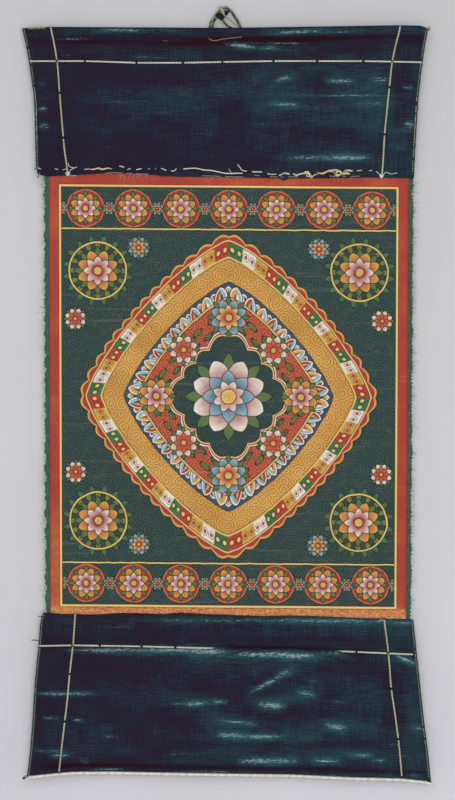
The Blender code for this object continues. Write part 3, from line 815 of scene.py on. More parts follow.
def on_cloth(x, z, radius):
    """How far forward a thread's centre lies on whichever cloth is in front at (x, z)."""
    if z > line_z("upper seam", x):
        return rest_forward(upper_front(x), z, radius, sink=0)
    if z < line_z("lower seam", x):
        return rest_forward(lower_front(x), z, radius, sink=0)
    return CANVAS_THICK / 2 + radius


def laid_thread(table, radius, lift=0.0):
    """A thread that lies on the cloth, a little clear of it between its ends."""
    points = curve_points(table, 0.8)
    share = np.linspace(0, 1, len(points))
    rise = lift * np.sin(np.pi * share) - radius * 1.2 * (np.abs(share - 0.5) * 2) ** 12
    return [(x, z, on_cloth(x, z, radius) + up) for (x, z), up in zip(points, rise)]


def loosened(table, count, loose, seed):
    """Fibres of a yarn that has come open where it lies on the cloth."""
    yarn_rng = np.random.default_rng(seed)
    line = np.array(curve_points(table, 0.7))
    paths = []
    for _ in range(count):
        first, last = yarn_rng.uniform(0, 0.2), yarn_rng.uniform(0.8, 1)
        part = line[round(first * (len(line) - 1)) : round(last * (len(line) - 1)) + 1]
        shift, turn = yarn_rng.normal(0, loose, (2, 2)), yarn_rng.uniform(0, 6.28, 2)
        lift = yarn_rng.uniform(0.1, 0.9)
        path = []
        for (x, z), share in zip(part, np.linspace(0, 1, len(part))):
            x = x + shift[0, 0] + shift[1, 0] * math.sin(5 * share + turn[0])
            z = z + shift[0, 1] + shift[1, 1] * math.sin(6 * share + turn[1])
            path.append((x, z, on_cloth(x, z, 0.3) + lift * math.sin(math.pi * min(1, share * 1.1))))
        paths.append(path)
    return paths


def wound_tie(centre, along, radius, turns=4.2, pitch=0.62):
    """Thread wound round a cord at a point. All in millimetres, as (x, z, forward)."""
    along = Vector((along[0], along[1], 0)).normalized()
    side = Vector((-along[1], along[0], 0))
    path = []
    for t in np.linspace(-turns / 2, turns / 2, math.ceil(turns * 10)):
        angle = 2 * math.pi * t
        spot = along * t * pitch + (side * math.cos(angle) + Vector((0, 0, 1)) * math.sin(angle)) * radius
        path.append([c + s for c, s in zip(centre, spot)])
    return path


def small_knot(x, z, forward, size):
    """An overhand knot pulled tight."""
    path = []
    for t in np.linspace(0, 2 * math.pi, 60):
        path.append((
            x + size * (math.sin(t) + 2 * math.sin(2 * t)) / 3,
            z + size * (math.cos(t) - 2 * math.cos(2 * t)) / 3,
            forward + size * 0.35 * math.sin(3 * t),
        ))
    return path


def hang(paths):
    """World points of paths of (x, z, forward)."""
    return [hung(*np.array(path, float).T) for path in paths]


def whiskers(table, count, length, seed, spread_by=0.6):
    """Frayed thread ends along a line, whose points are (x, z, forward) and a direction (x, z)."""
    hair_rng = np.random.default_rng(seed)
    table = np.array(table, float)
    paths = []
    for _ in range(count):
        pick, t = hair_rng.integers(len(table) - 1), hair_rng.random()
        start = table[pick] + (table[pick + 1] - table[pick]) * t
        out = start[3:] / np.linalg.norm(start[3:]) + hair_rng.normal(0, spread_by, 2)
        reach = length * hair_rng.uniform(0.3, 1.0) ** 1.5
        bend = hair_rng.normal(0, 0.5, 2)
        path = []
        for s in np.linspace(0, 1, 5):
            along = (out * s + bend * s * s) * reach - 0.4 * out * (1 - s)
            path.append((start[0] + along[0], start[1] + along[1], start[2] + hair_rng.normal(0, 0.12)))
        paths.append(path)
    return paths


# Finishes


def indigo_cotton(name, wear_and_painted_light):
    """Slubby plain weave, nearly black in places, paler along its threads, worn where it stands proud, with
    painted highlight on its ridges and painted shade in its grooves.
    """
    f = Finish(name)
    at = f.cloth()
    worn, faded_and_highlit, shade_and_dark = f.mark("worn") * wear_and_painted_light, f.mark("faded_and_highlit") * wear_and_painted_light, f.mark("shade_and_dark") * wear_and_painted_light
    weft = f.clouds(*at, 0.045, 0.85, roughness=0.62)
    warp = f.clouds(*at, 0.90, 0.030, 3)
    patch = f.clouds(*at, 0.016, 0.034, 5, roughness=0.55)
    pick = f.clouds(*at, 0.16, 1.7, 7, 2)
    end = f.clouds(*at, 1.3, 0.22, 9, 2)
    fleck = f.clouds(*at, 0.20, 0.55, 11, 2)
    side = f.ramp(at[0], -240, 240, -0.075, 0.075)
    lively = weft * 0.72 + warp * 0.50 + patch * 0.34 + f.mark("teal") * 0.19 + side
    lively = lively + worn * 0.10 + faded_and_highlit * 0.22 - shade_and_dark * 0.28
    base = f.ramp(patch + (warp - 0.5) * 0.4, 0.35, 0.65)
    colour = f.mix(base, (0.0200, 0.0105, 0.0285), (0.0175, 0.0165, 0.0330))
    # Wear and painted highlight take the raised threads first, so each streak breaks up into them.
    threads = (pick - 0.5) * 1.7 + (end - 0.5) * 1.2 + (weft - 0.5) * 1.6 + (fleck - 0.5) * 2.4
    halo = f.ramp(faded_and_highlit + threads * 0.6, 0.30, 1.25) * f.ramp(faded_and_highlit, 0.05, 0.35)
    rubbed = f.ramp(worn + threads, 0.38, 1.30) * f.ramp(worn, 0.10, 0.45)
    inwards = f.mark("inwards") + (weft - 0.5) * 1.6
    for share, over in (
        (f.ramp(lively, 0.755, 1.105), (0.0165, 0.068, 0.081)),
        (f.ramp(pick + (lively - 0.9) * 0.5, 0.50, 0.80) * 0.5, (0.028, 0.110, 0.128)),
        # Purple-black: painted shade in the grooves, and dark patches
        (f.ramp(shade_and_dark + (weft - 0.5) * 0.5, 0.60, 1.35), (0.0210, 0.0035, 0.0075)),
        # Pale: wear, and painted highlight where the cloth stands proud
        (halo * 0.45, (0.056, 0.190, 0.215)),
        (rubbed * 0.92, (0.350, 0.500, 0.530)),
        # The side hems' turned edge is greener, darkest beside its stitches.
        (f.ramp(inwards, 6.0, 3.2) * 0.55, (0.0150, 0.030, 0.026)),
        (f.ramp(inwards, 1.9, 1.1) * 0.75, (0.052, 0.088, 0.070)),
    ):
        colour = f.mix(share, colour, over)
    weave = f.bump(f.weave(*at, 0.9, 0.8) * 0.5 + pick + end * 0.7, 0.00025, 0.6)
    normal = f.bump(weft + warp * 0.6, 0.0009, 0.5, weave)
    return f.shade(colour, f.ramp(rubbed, 0, 1, 0.88, 0.76), normal, specular=0.16)


def frayed_green():
    f = Finish("frayed_green")
    at = f.cloth()
    streak, cross = f.clouds(*at, 0.5, 0.12), f.clouds(*at, 0.25, 1.2, 4, 2)
    colour = f.mix(f.ramp(streak, 0.35, 0.68), (0.036, 0.085, 0.060), (0.080, 0.165, 0.112))
    colour = f.mix(f.ramp(cross, 0.60, 0.80) * 0.6, colour, (0.28, 0.34, 0.22))
    return f.shade(colour, 0.88, f.bump(f.weave(*at, 0.8, 0.8) * 0.4 + cross, 0.0003, 0.7), specular=0.25)


def raw_canvas():
    """The back of the painting: sized cotton, a little stained."""
    f = Finish("raw_canvas")
    at = f.cloth()
    stain, blotch = f.clouds(*at, 0.010, 0.008, detail=4), f.clouds(*at, 0.05, 0.04, 9)
    colour = f.mix(f.ramp(stain, 0.35, 0.70), (0.50, 0.42, 0.30), (0.36, 0.27, 0.17))
    colour = f.mix(f.ramp(blotch, 0.60, 0.78) * 0.4, colour, (0.22, 0.15, 0.09))
    return f.shade(colour, 0.85, f.bump(f.weave(*at, 0.7, 0.7), 0.0001, 0.7))


def spun(name, light, dark, first=None):
    """Yarn: fibres along the twist, dirt in patches. First is the colour of a cord's first strand."""
    f = Finish(name)
    place = f.place()
    fibre, patch = f.noise(place, 900, 2, 0.6), f.noise(place, 45, 3, 0.6)
    colour = f.mix(f.ramp(fibre * 0.6 + patch * 0.7, 0.45, 0.85), dark, light)
    if first:
        colour = f.mix(f.mark("ply").under(0.5) * f.ramp(patch, 0.30, 0.60, 0.25, 1.0), colour, first)
    return f.shade(colour, 0.8, f.bump(fibre, 0.0002, 0.7))


# The painting's colours
RED, RED_DARK, ORANGE = (0.52, 0.050, 0.036), (0.20, 0.016, 0.014), (0.70, 0.180, 0.060)
OCHRE, YELLOW, OLIVE = (0.76, 0.430, 0.080), (0.96, 0.68, 0.20), (0.20, 0.23, 0.050)
BLUSH, PALE_BLUE, LEAF = (0.94, 0.86, 0.75), (0.33, 0.52, 0.60), (0.055, 0.180, 0.070)
DEEP_BLUE, CRIMSON = (0.035, 0.095, 0.160), (0.44, 0.040, 0.050)
GROUND, SCROLL, INK = (0.0110, 0.036, 0.038), (0.036, 0.120, 0.110), (0.012, 0.013, 0.013)
# Its layout from the middle: half width and half height inside the border, the lozenges', the corner
# blossoms' place, the friezes' pitch and height
FIELD, LOZENGE, CORNER, PITCH, FRIEZE = (202, 252), (172, 188), (157, 150), 57.2, 225


class Painting(Finish):
    """Colours laid over each other by their distance, in millimetres, from drawn shapes."""

    def __init__(self, name):
        super().__init__(name)
        self.flat = self.cloth()
        # The hand that drew it wasn't quite steady.
        sway = [(self.clouds(*self.flat, 0.06, 0.06, layer, 2, 0.5) - 0.5) * 2.4 for layer in (0, 8)]
        self.x, self.y = (flat + off for flat, off in zip(self.flat, sway))
        self.ax, self.ay, self.angle = abs(self.x), abs(self.y), self.y.angle_from(self.x)
        self.tone = self.clouds(self.x, self.y, 0.018, 0.018, 2)
        self.cloudy = self.ramp(self.tone, 0.35, 0.7)
        self.colour = None

    def lay(self, share, colour):
        self.colour = self.mix(share, self.colour, colour)

    def fill(self, distance, *steps):
        """Fills inside a shape, and inside outlines a step further in each time: step, colour, and so on."""
        for step, colour in zip(steps[::2], steps[1::2]):
            self.lay(self.ramp(distance + step if step else distance, 0.35, -0.35), colour)

    def line(self, distance, width, colour, share=1.0):
        self.lay(self.ramp(abs(distance), width / 2 + 0.3, width / 2 - 0.3, 0, share), colour)

    def inked_line(self, distance, width, colour, ink_width):
        self.line(distance, ink_width, INK)
        self.line(distance, width, colour)

    def scroll(self, x, y, cell, pitch):
        """Distance from the lines of curls that fill cells."""
        curls = {"Vector": self.vector(x, y), "Scale": 1 / cell, "Randomness": 0.55}
        cx, cy = self.parts(self.node("ShaderNodeTexVoronoi", curls, output=2, voronoi_dimensions="2D"))
        dx, dy = x - cx, y - cy
        turn = self.length(dx, dy) / pitch + dy.angle_from(dx) / math.tau
        return (0.5 - abs(turn.fraction() - 0.5)) * pitch

    def stepped(self, number, *colours):
        """One of the colours, by a number from 0 to 1."""
        stops = [(i / len(colours), colour) for i, colour in enumerate(colours)]
        ramp = self.node("ShaderNodeValToRGB", {0: number}, stops=stops)
        ramp.socket.node.color_ramp.interpolation = "CONSTANT"
        return ramp

    def petals(self, far, angle, near, tip, half_width, turn=0.0, count=8):
        """Distance from a ring of pointed petals about a centre."""
        step = math.tau / count
        off = ((angle / step + turn).fraction() - 0.5) * step
        along, aside = far * off.cosine(), abs(far * off.sine())
        half = (tip - near) / 2
        arc = (half**2 + half_width**2) / (2 * half_width)
        return self.length(along - (near + half), aside + (arc - half_width)) - arc


def cell(number, width):
    """Place across each of a row of equal cells, from its middle."""
    return (number.fraction() - 0.5) * width


def lozenges(p):
    """One inside the other: a scalloped rim, a row of tiles, a gilt band with curls. Gives their edge."""
    power = 1.28
    lozenge = ((p.ax / LOZENGE[0]) ** power + (p.ay / LOZENGE[1]) ** power) ** (1 / power)
    edge = (lozenge - 1) * 150
    lobes = abs((p.angle * 28).sine())
    p.fill(edge - 4.4 - lobes * 4.0, 0, INK, 1.0, OCHRE)
    p.fill(edge - 1.6 - lobes * 3.4, 0, CRIMSON)
    which = (p.angle * (8 / math.pi)).fraction()
    p.fill(edge, 0, YELLOW, 1.4, INK, 2.2, p.stepped(which, RED, OCHRE, BLUSH, LEAF))
    tile = p.length(cell(p.angle * (64 / math.pi), 8.6), edge + 9.0)
    p.line(tile - 3.6, 0.8, INK, 0.7)
    p.fill(tile, -2.0, p.stepped(which, YELLOW, CRIMSON, RED, YELLOW))
    p.fill(edge, 16.0, YELLOW, 17.6, INK, 18.4, p.mix(p.cloudy, (0.70, 0.40, 0.075), (0.82, 0.52, 0.13)))
    p.line(p.most(p.scroll(p.x, p.y, 13.0, 3.3), edge + 19), 0.95, (0.50, 0.070, 0.026), 0.9)
    return edge


def lotus_band(p, edge):
    """Two rows of petals that point outwards, on blue."""
    p.fill(edge, 40.0, INK, 41.0, DEEP_BLUE)
    which = (p.angle * (10 / math.pi)).fraction()
    for shift, length in ((0.5, 11.5), (0.0, 13.5)):
        aside = abs(cell(p.angle * (20 / math.pi) + shift, 19.0))
        petal = p.length(edge + 55, aside + (length**2 / 17 - 4.25)) - (length**2 / 17 + 4.25)
        p.fill(petal, -0.5, INK, 0.5, BLUSH, 1.9, p.stepped(which, PALE_BLUE, CRIMSON, PALE_BLUE, OCHRE))
        p.fill(petal, 5.2, p.stepped(which, DEEP_BLUE, OCHRE, BLUSH, RED))
    p.fill(edge, 54.0, INK, 54.8, YELLOW, 56.4, INK)


def red_middle(p, edge):
    """A red field with gold curls and a leafy vine, round a lobed dark middle."""
    p.fill(edge, 57.2, p.mix(p.cloudy, RED, CRIMSON))
    p.line(p.most(p.scroll(p.x, p.y, 12.0, 3.2), edge + 58), 0.8, (0.74, 0.30, 0.07), 0.8)
    for turn, colour in ((0.25, LEAF), (-0.25, OLIVE)):
        leaf = p.length(cell(p.angle * (12 / math.pi) + turn, 16.0) / 4.6, (edge + 75 + 24 * turn) / 2.6) - 1
        p.fill(leaf * 2.6, -0.6, INK, 0.4, colour)
    p.inked_line(edge + 75 + (p.angle * 24).sine() * 5.0, 1.9, OLIVE, 3.2)
    core = edge + 92 - abs((p.angle * 8).sine()) * 6.0
    p.fill(core, -3.6, INK, -2.7, BLUSH, -1.2, CRIMSON, 0.4, YELLOW, 1.8, INK, 2.6, GROUND)
    p.line(p.most(p.scroll(p.x, p.y, 9.0, 2.8), core + 3), 0.7, SCROLL, 0.9)


def wreaths(p):
    """Two rings of leaves and a line round each corner blossom."""
    x, y = p.ax - CORNER[0], p.ay - CORNER[1]
    ring, turned = p.length(x, y), y.angle_from(x)
    for near, tip, turn, colour in ((31, 42.5, 0.0, LEAF), (25.5, 35, 0.5, OLIVE)):
        p.fill(p.petals(ring, turned, near, tip, 3.1, turn, 16), -0.6, INK, 0.3, colour)
    p.inked_line(ring - 34, 1.7, YELLOW, 3.0)


def friezes(p, curls, along):
    """Bands with curls, a wavy stem and round niches."""
    band = p.mix(p.cloudy, (0.010, 0.036, 0.040), (0.016, 0.048, 0.046))
    p.fill(198.5 - p.ay, 0, INK, 1.1, YELLOW, 2.7, band)
    p.line(p.most(curls, 203 - p.ay), 0.8, SCROLL, 0.9)
    stem = abs(p.ay - FRIEZE - (p.x * (math.pi / PITCH)).cosine() * 9)
    p.inked_line(p.most(stem, 203.5 - p.ay), 2.2, LEAF, 3.6)
    niche = p.length(along, p.ay - FRIEZE)
    p.fill(niche, -23.6, INK, -22.8, ORANGE, -21.0, INK, -20.4, CRIMSON, -17.2, DEEP_BLUE)


def nearest_blossom(p, along, buds):
    """Its own coordinates, in shares of its radius, its tint and its radius."""
    # Where it is across, its centre, its radius and its tint
    spots = (
        (p.ax, 0, 0, 45, 0.10),
        (p.ax, 0, 95, 22, 0.35),
        (p.ax, 87, 0, 21, 0.60),
        (p.ax, 54, 56, 17, 0.85),
        (p.ax, *CORNER, 25, 0.60),
        (p.ax, 108, 178, 13, 0.35),
        (p.ax, 184, 92, 13, 0.85),
        (along, 0, FRIEZE, 18.5, 0.60),
        (buds, 0, FRIEZE, 8, 0.35),
    )
    blossom = None
    for x, cx, cy, radius, tint in spots:
        dx, dy = (x - cx) / radius, (p.ay - cy) / radius
        here = [dx, dy, p.length(dx, dy), tint, radius]
        if blossom is None:
            blossom = here
        else:
            nearer = here[2].under(blossom[2])
            blossom = [nearer * (new - old) + old for new, old in zip(here, blossom)]
    return blossom


def blossoms(p, along, buds):
    """Leaves, then rings of petals, then the eye with its seeds. Only the largest has the last ring."""
    dx, dy, far, tint, size = nearest_blossom(p, along, buds)
    around = dy.angle_from(dx)
    wash = (p.clouds(p.x, p.y, 0.12, 0.12, 4) - 0.5) * 0.3

    def layer(shape, colour, shade, near, tip):
        p.fill(shape * size, -0.40, INK, 0.55, p.mix(p.ramp(far + wash, near, tip), shade, colour))

    layer(p.petals(far, around, 0.50, 1.18, 0.15, 0.5), LEAF, OLIVE, 0.6, 1.2)
    outer = p.stepped(tint, BLUSH, PALE_BLUE, OCHRE, BLUSH), p.stepped(tint, CRIMSON, DEEP_BLUE, RED, ORANGE)
    layer(p.petals(far, around, 0.26, 1.02, 0.27), *outer, 0.45, 0.95)
    middle = p.stepped(tint, PALE_BLUE, YELLOW, BLUSH, ORANGE), p.stepped(tint, DEEP_BLUE, RED, CRIMSON, RED)
    layer(p.petals(far, around, 0.10, 0.70, 0.19, 0.5), *middle, 0.25, 0.66)
    layer(p.petals(far, around, 0.04, 0.44, 0.12) + size.under(40) * 9, BLUSH, RED, 0.14, 0.42)
    layer(far - 0.20, YELLOW, OCHRE, 0.0, 0.20)
    p.line(p.length(far - 0.12, cell(around * (8 / math.tau), 0.10)) * size, 0.9, RED_DARK, 0.8)


def border(p, grain, rub, streak):
    """Red, orange where it is rubbed, with a yellow line inside it."""
    x, y = p.flat
    out = p.most(abs(x) - FIELD[0], abs(y) - FIELD[1])
    p.fill(-1.9 - out, 0, INK)
    low, top = p.ramp(y, -246, -262, 0, 0.50), p.ramp(y, 246, 262, 0, 0.10)
    left = p.ramp(p.length(x + 205, (y + 215) * 0.35), 34, 6, 0, 0.4)
    orange = p.ramp(p.tone + low + left + top + (grain - 0.5) * 0.5, 0.50, 0.95)
    p.fill(-out, 0, p.mix(orange, RED, ORANGE))
    dark = p.ramp(grain * 0.6 + rub * 0.7 + streak * 0.4, 0.78, 1.1) * 0.7
    p.fill(-out, 0, p.mix(dark, p.colour, (0.34, 0.030, 0.026)))
    p.line(out, 2.4, YELLOW)
    p.line(out - 1.8, 0.8, RED_DARK, 0.8)


def age(p, grain, rub, streak, roll):
    """Dirt, rubbed and rolled places, grain, the foot's worn gilding, cracks."""
    x, y = p.flat
    p.lay(p.ramp(p.tone, 0.30, 0.70, 0.12, 0.0), (0.16, 0.10, 0.055))
    p.lay(p.ramp(grain, 0.45, 0.75) * p.ramp(rub, 0.48, 0.72) * 0.40, (0.58, 0.44, 0.27))
    p.lay(p.ramp(roll, 0.60, 0.74) * p.ramp(grain, 0.35, 0.60) * 0.20, (0.50, 0.42, 0.30))
    p.lay(p.ramp(grain, 0.50, 0.30) * 0.16, INK)
    blots = p.clouds(x, y, 0.22, 0.45, 16, 3, 0.7)
    foot = p.ramp(y, -252, -256) * p.ramp(grain * 0.6 + blots * 0.8 + streak * 0.25, 0.76, 0.98)
    p.lay(foot * 0.8, (0.86, 0.60, 0.22))
    crack = {"Vector": p.vector(x * 0.20, y * 0.32), "Scale": 1.0}
    crack = p.node("ShaderNodeTexVoronoi", crack, feature="DISTANCE_TO_EDGE")
    p.lay(p.ramp(crack, 0.05, 0.01, 0, 0.22) * p.ramp(rub, 0.42, 0.62), INK)


def painted_field():
    """Mineral colours: a scrolled dark ground, nested lozenges with a lotus band and a vine, blossoms, the
    corners' in wreaths, two friezes and a red border with a yellow line. Rolled, rubbed and cracked."""
    p = Painting("mineral_colours")
    p.colour = p.mix(p.ramp(p.tone, 0.35, 0.68), GROUND, (0.017, 0.047, 0.044))
    curls = p.scroll(p.x, p.y, 15.0, 3.2)
    p.line(curls, 0.8, SCROLL, 0.9)
    edge = lozenges(p)
    lotus_band(p, edge)
    red_middle(p, edge)
    wreaths(p)
    # Places along a frieze, from the middle of the nearest niche and of the nearest bud
    along, buds = cell(p.x / PITCH + 0.5, PITCH), cell(p.x / PITCH, PITCH)
    friezes(p, curls, along)
    blossoms(p, along, buds)
    grain = p.clouds(*p.flat, 0.9, 0.9, 3, roughness=0.65)
    rub = p.clouds(*p.flat, 0.09, 0.12, 6, 4, 0.65)
    streak = p.clouds(*p.flat, 0.50, 0.05, 7, 2)
    border(p, grain, rub, streak)
    roll = p.clouds(*p.flat, 0.006, 0.16, 12, 2)
    age(p, grain, rub, streak, roll)
    relief = p.weave(*p.flat, 0.7, 0.7) * 0.25 + grain * 0.6 + p.ramp(roll, 0.5, 0.75)
    return p.shade(p.colour, p.ramp(rub, 0.3, 0.7, 0.62, 0.80), p.bump(relief, 0.00025, 0.55), specular=0.25)


def wall_paint():
    """Backdrop paint, seen and lit from the front only, a little paler lower down: painted light that
    brightens the wall towards the bottom.
    """
    f = Finish("wall_paint")
    place = f.place()
    height = f.node("ShaderNodeSeparateXYZ", {0: place}, output=2)
    # Painted light: the wall grows paler towards the bottom
    paint = f.mix(f.ramp(height, 0.0, -0.95), (0.640, 0.635, 0.630), (0.80, 0.795, 0.845))
    paint = f.mix(f.ramp(f.noise(place, 2.2), 0.3, 0.7), paint, (0.72, 0.71, 0.75))
    front = f.node("ShaderNodeBsdfDiffuse", {"Color": paint})
    behind = f.node("ShaderNodeNewGeometry", output="Backfacing")
    one_sided = f.node("ShaderNodeMixShader", {0: behind, 1: front, 2: f.node("ShaderNodeBsdfTransparent")})
    f.node("ShaderNodeOutputMaterial", {0: one_sided})
    return f.material


def floor_paint():
    f = Finish("floor_paint")
    return f.shade(f.mix(f.noise(f.place(), 3.0, 3), (0.60, 0.59, 0.58), (0.66, 0.65, 0.64)), 0.7)


# The hanging

# The back has a quarter of the front's wear, painted highlight and painted shade
cottons = indigo_cotton("indigo_cotton", 1.0), indigo_cotton("indigo_cotton_back", 0.25)
green = frayed_green()
cream = spun("cream_cord", (0.87, 0.85, 0.69), (0.60, 0.57, 0.42))
worn_cream = spun("worn_cream_cord", (0.68, 0.65, 0.49), (0.45, 0.42, 0.29))
rope_yarn = spun("rope_yarn", (0.98, 0.96, 0.87), (0.92, 0.87, 0.70))
loop_yarn = spun("dark_cord", (0.028, 0.045, 0.036), (0.006, 0.010, 0.009), first=(0.20, 0.25, 0.17))
dark_yarn = spun("dark_yarn", (0.022, 0.028, 0.023), (0.006, 0.008, 0.008))
pale_olive = spun("pale_olive_cord", (0.72, 0.68, 0.38), (0.34, 0.34, 0.16))
olive = spun("olive_cord", (0.50, 0.50, 0.28), (0.20, 0.22, 0.11))
# Cream cord made darker: painted shade for the stitch in the groove under the top fold
shaded = spun("dulled_cord", (0.27, 0.245, 0.205), (0.17, 0.15, 0.12))
tie_thread = spun("tie_thread", (0.016, 0.020, 0.022), (0.005, 0.005, 0.007))
whip_thread = spun("whip_thread", (0.74, 0.68, 0.50), (0.44, 0.38, 0.26))
tan_thread = spun("tan_thread", (0.50, 0.36, 0.17), (0.28, 0.18, 0.08))
white_thread = spun("white_thread", (0.86, 0.83, 0.73), (0.60, 0.56, 0.44))
yellowed = spun("yellowed_yarn", (0.84, 0.78, 0.50), (0.58, 0.52, 0.28))
dulled = spun("dulled_thread", (0.46, 0.47, 0.40), (0.26, 0.29, 0.27))
sage = spun("sage_thread", (0.70, 0.74, 0.60), (0.40, 0.46, 0.36))
green_thread = spun("green_thread", (0.46, 0.52, 0.42), (0.12, 0.22, 0.14))

plied, thread, stitch_row = cord_recipe(), thread_recipe(), stitch_row_recipe()


def piece(obj, slot, node=None):
    """Takes a finished piece into the model."""
    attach(obj, "root")
    if node:
        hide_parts(node)
    return obj


def wound(name, paths, slot, material, node=None, radius=CORD_RADIUS, strands=2, turn=7.0, sides=8):
    obj = curve_through(name, paths)
    values = dict(strands=strands, radius=radius * MM, turn=turn * MM, spacing=turn / 10 * MM, sides=sides)
    return piece(plied.make(obj, material=material, **values), slot, node)


def sewn(name, paths, slot, material, radius, sides=6, sizes=None):
    """Threads of one radius, or of sizes that are times it."""
    obj = curve_through(name, paths, sizes)
    return piece(thread.make(obj, material=material, radius=radius * MM, sides=sides), slot)


upper = piece(panel("upper_panel", UPPER_SIDES, upper_section, 1, *cottons), "indigo", "upper_cloth")
lower = piece(panel("lower_panel", LOWER_SIDES, lower_section, 2, *cottons), "indigo", "lower_cloth")
canvas = piece(painted_canvas(painted_field(), raw_canvas()), "canvas_paint", "painted_canvas")
strips = [
    piece(side_strip("strip_left", 0, 3, green), "strip_green", "side_strip_left"),
    piece(side_strip("strip_right", 1, 4, green), "strip_green", "side_strip_right"),
]

across = across_path(upper_across_at, -235, 235.5)
wound("couched_upper", hang([across]), "cord_cream", cream, "cord_upper_across")
across = across_path(lower_across_at, -223.5, 228.5)
wound("couched_lower", hang([across]), "cord_cream", cream, "cord_lower_across")
down_paths = {}
for side, (front, crossed, _, table) in DOWN_CORDS.items():
    down_paths[side] = down_path(table, front, crossed)
    wound(f"couched_{side}", hang([down_paths[side]]), "cord_cream", worn_cream, f"cord_{side}")

rope_path = [(x, line_z("hem", x) - ROPE_RADIUS - 0.1, 0.2) for x in np.arange(-236, 246.2, 2.0)]
wound("hem_rope", hang([rope_path]), "rope_cream", rope_yarn, "bottom_rope", ROPE_RADIUS, 2, 19.0, 12)

# Ties over the cords, and last those where one cord crosses another
ties, crossings = [], []
for at, places in ((upper_across_at, TIES_UPPER), (lower_across_at, TIES_LOWER)):
    ties += [wound_tie((x, *at(x)), (1, 0), CORD_RADIUS + 0.25) for x in places]
for side, (_, crossed, heights, _) in DOWN_CORDS.items():
    path = np.array(down_paths[side])
    for z in heights:
        i = int(np.argmin(np.abs(path[:, 1] - z)))
        ties.append(wound_tie(path[i], path[i + 1][:2] - path[i][:2], CORD_RADIUS + 0.25))
    i = int(np.argmin([abs(z - crossed(x)[0]) for x, z, _ in path]))
    crossings.append(wound_tie(path[i], (1, 0.8), CORD_RADIUS + 0.3, 2.2, 0.6))
sewn("cord_ties", hang(ties + crossings), "indigo", tie_thread, 0.36)

# Knots, loose tails and the yarn of the upper seam
knots = [small_knot(x, z, on_cloth(x, z, 1.0) + 0.4, 2.2) for x, z in KNOTS]
sewn("cord_knots", hang(knots), "cord_cream", white_thread, 0.8, 8)
tails = [laid_thread(table, 0.4, 0.7) for table in TAILS]
sewn("loose_tails", hang(tails), "cord_cream", white_thread, 0.42)
runs = [laid_thread(table, size, 0.3) for size, table in SEAM_STITCHES]
sewn("seam_stitches", hang(runs), "cord_cream", white_thread, 1.0, sizes=[size for size, _ in SEAM_STITCHES])
fibres = []
for number, (count, loose, table) in enumerate(FRAYED_YARN):
    fibres += loosened(table, count, loose, 40 + number)
sewn("frayed_yarn", hang(fibres), "cord_cream", yellowed, 0.34, 5)
strays = [laid_thread(table, 0.3, 0.1) for table in EDGE_THREADS]
sewn("edge_threads", hang(strays), "cord_cream", dulled, 0.36, 5)

# Small stitches that hold down the side hems
rows = []
for sides, front, top, bottom in (
    (UPPER_SIDES, upper_front, -25, -198),
    (LOWER_SIDES, lower_front, -728, -921),
):
    for share, inset in ((0, 2.2), (1, -2.2)):
        path = []
        for z in np.linspace(top, bottom, 150):
            x = side_x(sides, z, share) + inset
            path.append((x, z, rest_forward(front(x), z, 0.3, sink=0)))
        rows.append(path)
sizes = dict(pitch=2.9 * MM, length=0.85 * MM, radius=0.46 * MM, seed=4)
piece(stitch_row.make(curve_through("hem_stitches", hang(rows)), material=sage, **sizes), "cord_cream")

# The loop: cords that come up behind the top hem, arch over the nail and are tied together

DARK_OUTER = (
    (-19.6, -35.5), (-19.2, -22.0), (-17.4, -15.5), (-13.2, -8.5), (-7.0, -2.2), (0.0, 1.4), (5.6, -1.8),
    (11.0, -9.2), (15.5, -16.5), (17.8, -22.5), (18.4, -35.5),
)  # fmt: skip
DARK_INNER = (
    (-16.2, -35.0), (-16.0, -22.0), (-14.2, -15.0), (-10.8, -10.2), (-7.4, -9.0), (-4.2, -11.4),
    (-1.0, -16.2), (4.0, -20.6), (9.5, -23.5), (10.6, -34.0),
)  # fmt: skip
CREAM_OUTER = (
    (-17.9, -35.5, 0.9), (-17.6, -22.0, 1.0), (-16.0, -15.0, 1.6), (-13.6, -7.6, 1.4), (-8.1, -0.6, 0.2),
    (0.0, 3.5, 0), (7.2, -0.7, 0), (12.6, -8.5, 0), (17.1, -15.9, 0), (19.7, -22.5, 0), (20.2, -35.5, 0),
)  # fmt: skip
CREAM_INNER = ((-4.4, -4.4), (0.0, -8.6), (4.6, -12.2), (10.8, -17.2), (15.6, -22.0), (16.4, -34.5))
# The tie's place, as a share of the outer dark cord, and its turns of yarn, so far apart
KNOT_AT, KNOT_TURNS, KNOT_PITCH = 0.45, 3.2, 1.25
FRONT_STITCH = ((-20.6, -35.6), (-15.6, -38.0), (-4.2, -36.6), (7.8, -35.2), (19.4, -34.3))


def loop_path(table):
    """World points of a cord in the loop's plane, or a given distance in front of it."""
    return [(x * MM, -sum(forward) * MM, z * MM) for x, z, *forward in curve_points(table, 0.6)]


for name, table, slot, yarn, node, radius, strands, turn in (
    ("loop_dark_cord", DARK_OUTER, "loop_dark", loop_yarn, "loop_dark_outer", DARK_RADIUS, 3, 9.0),
    ("loop_dark_strand", DARK_INNER, "loop_dark", loop_yarn, "loop_dark_inner", DARK_RADIUS, 3, 9.0),
    ("loop_cream_cord", CREAM_OUTER, "cord_cream", olive, "loop_cream_outer", CREAM_RADIUS, 2, 5.5),
    ("loop_cream_strand", CREAM_INNER, "cord_cream", olive, "loop_cream_inner", CREAM_RADIUS, 2, 5.5),
):
    wound(name, [loop_path(table)], slot, yarn, node, radius, strands, turn)

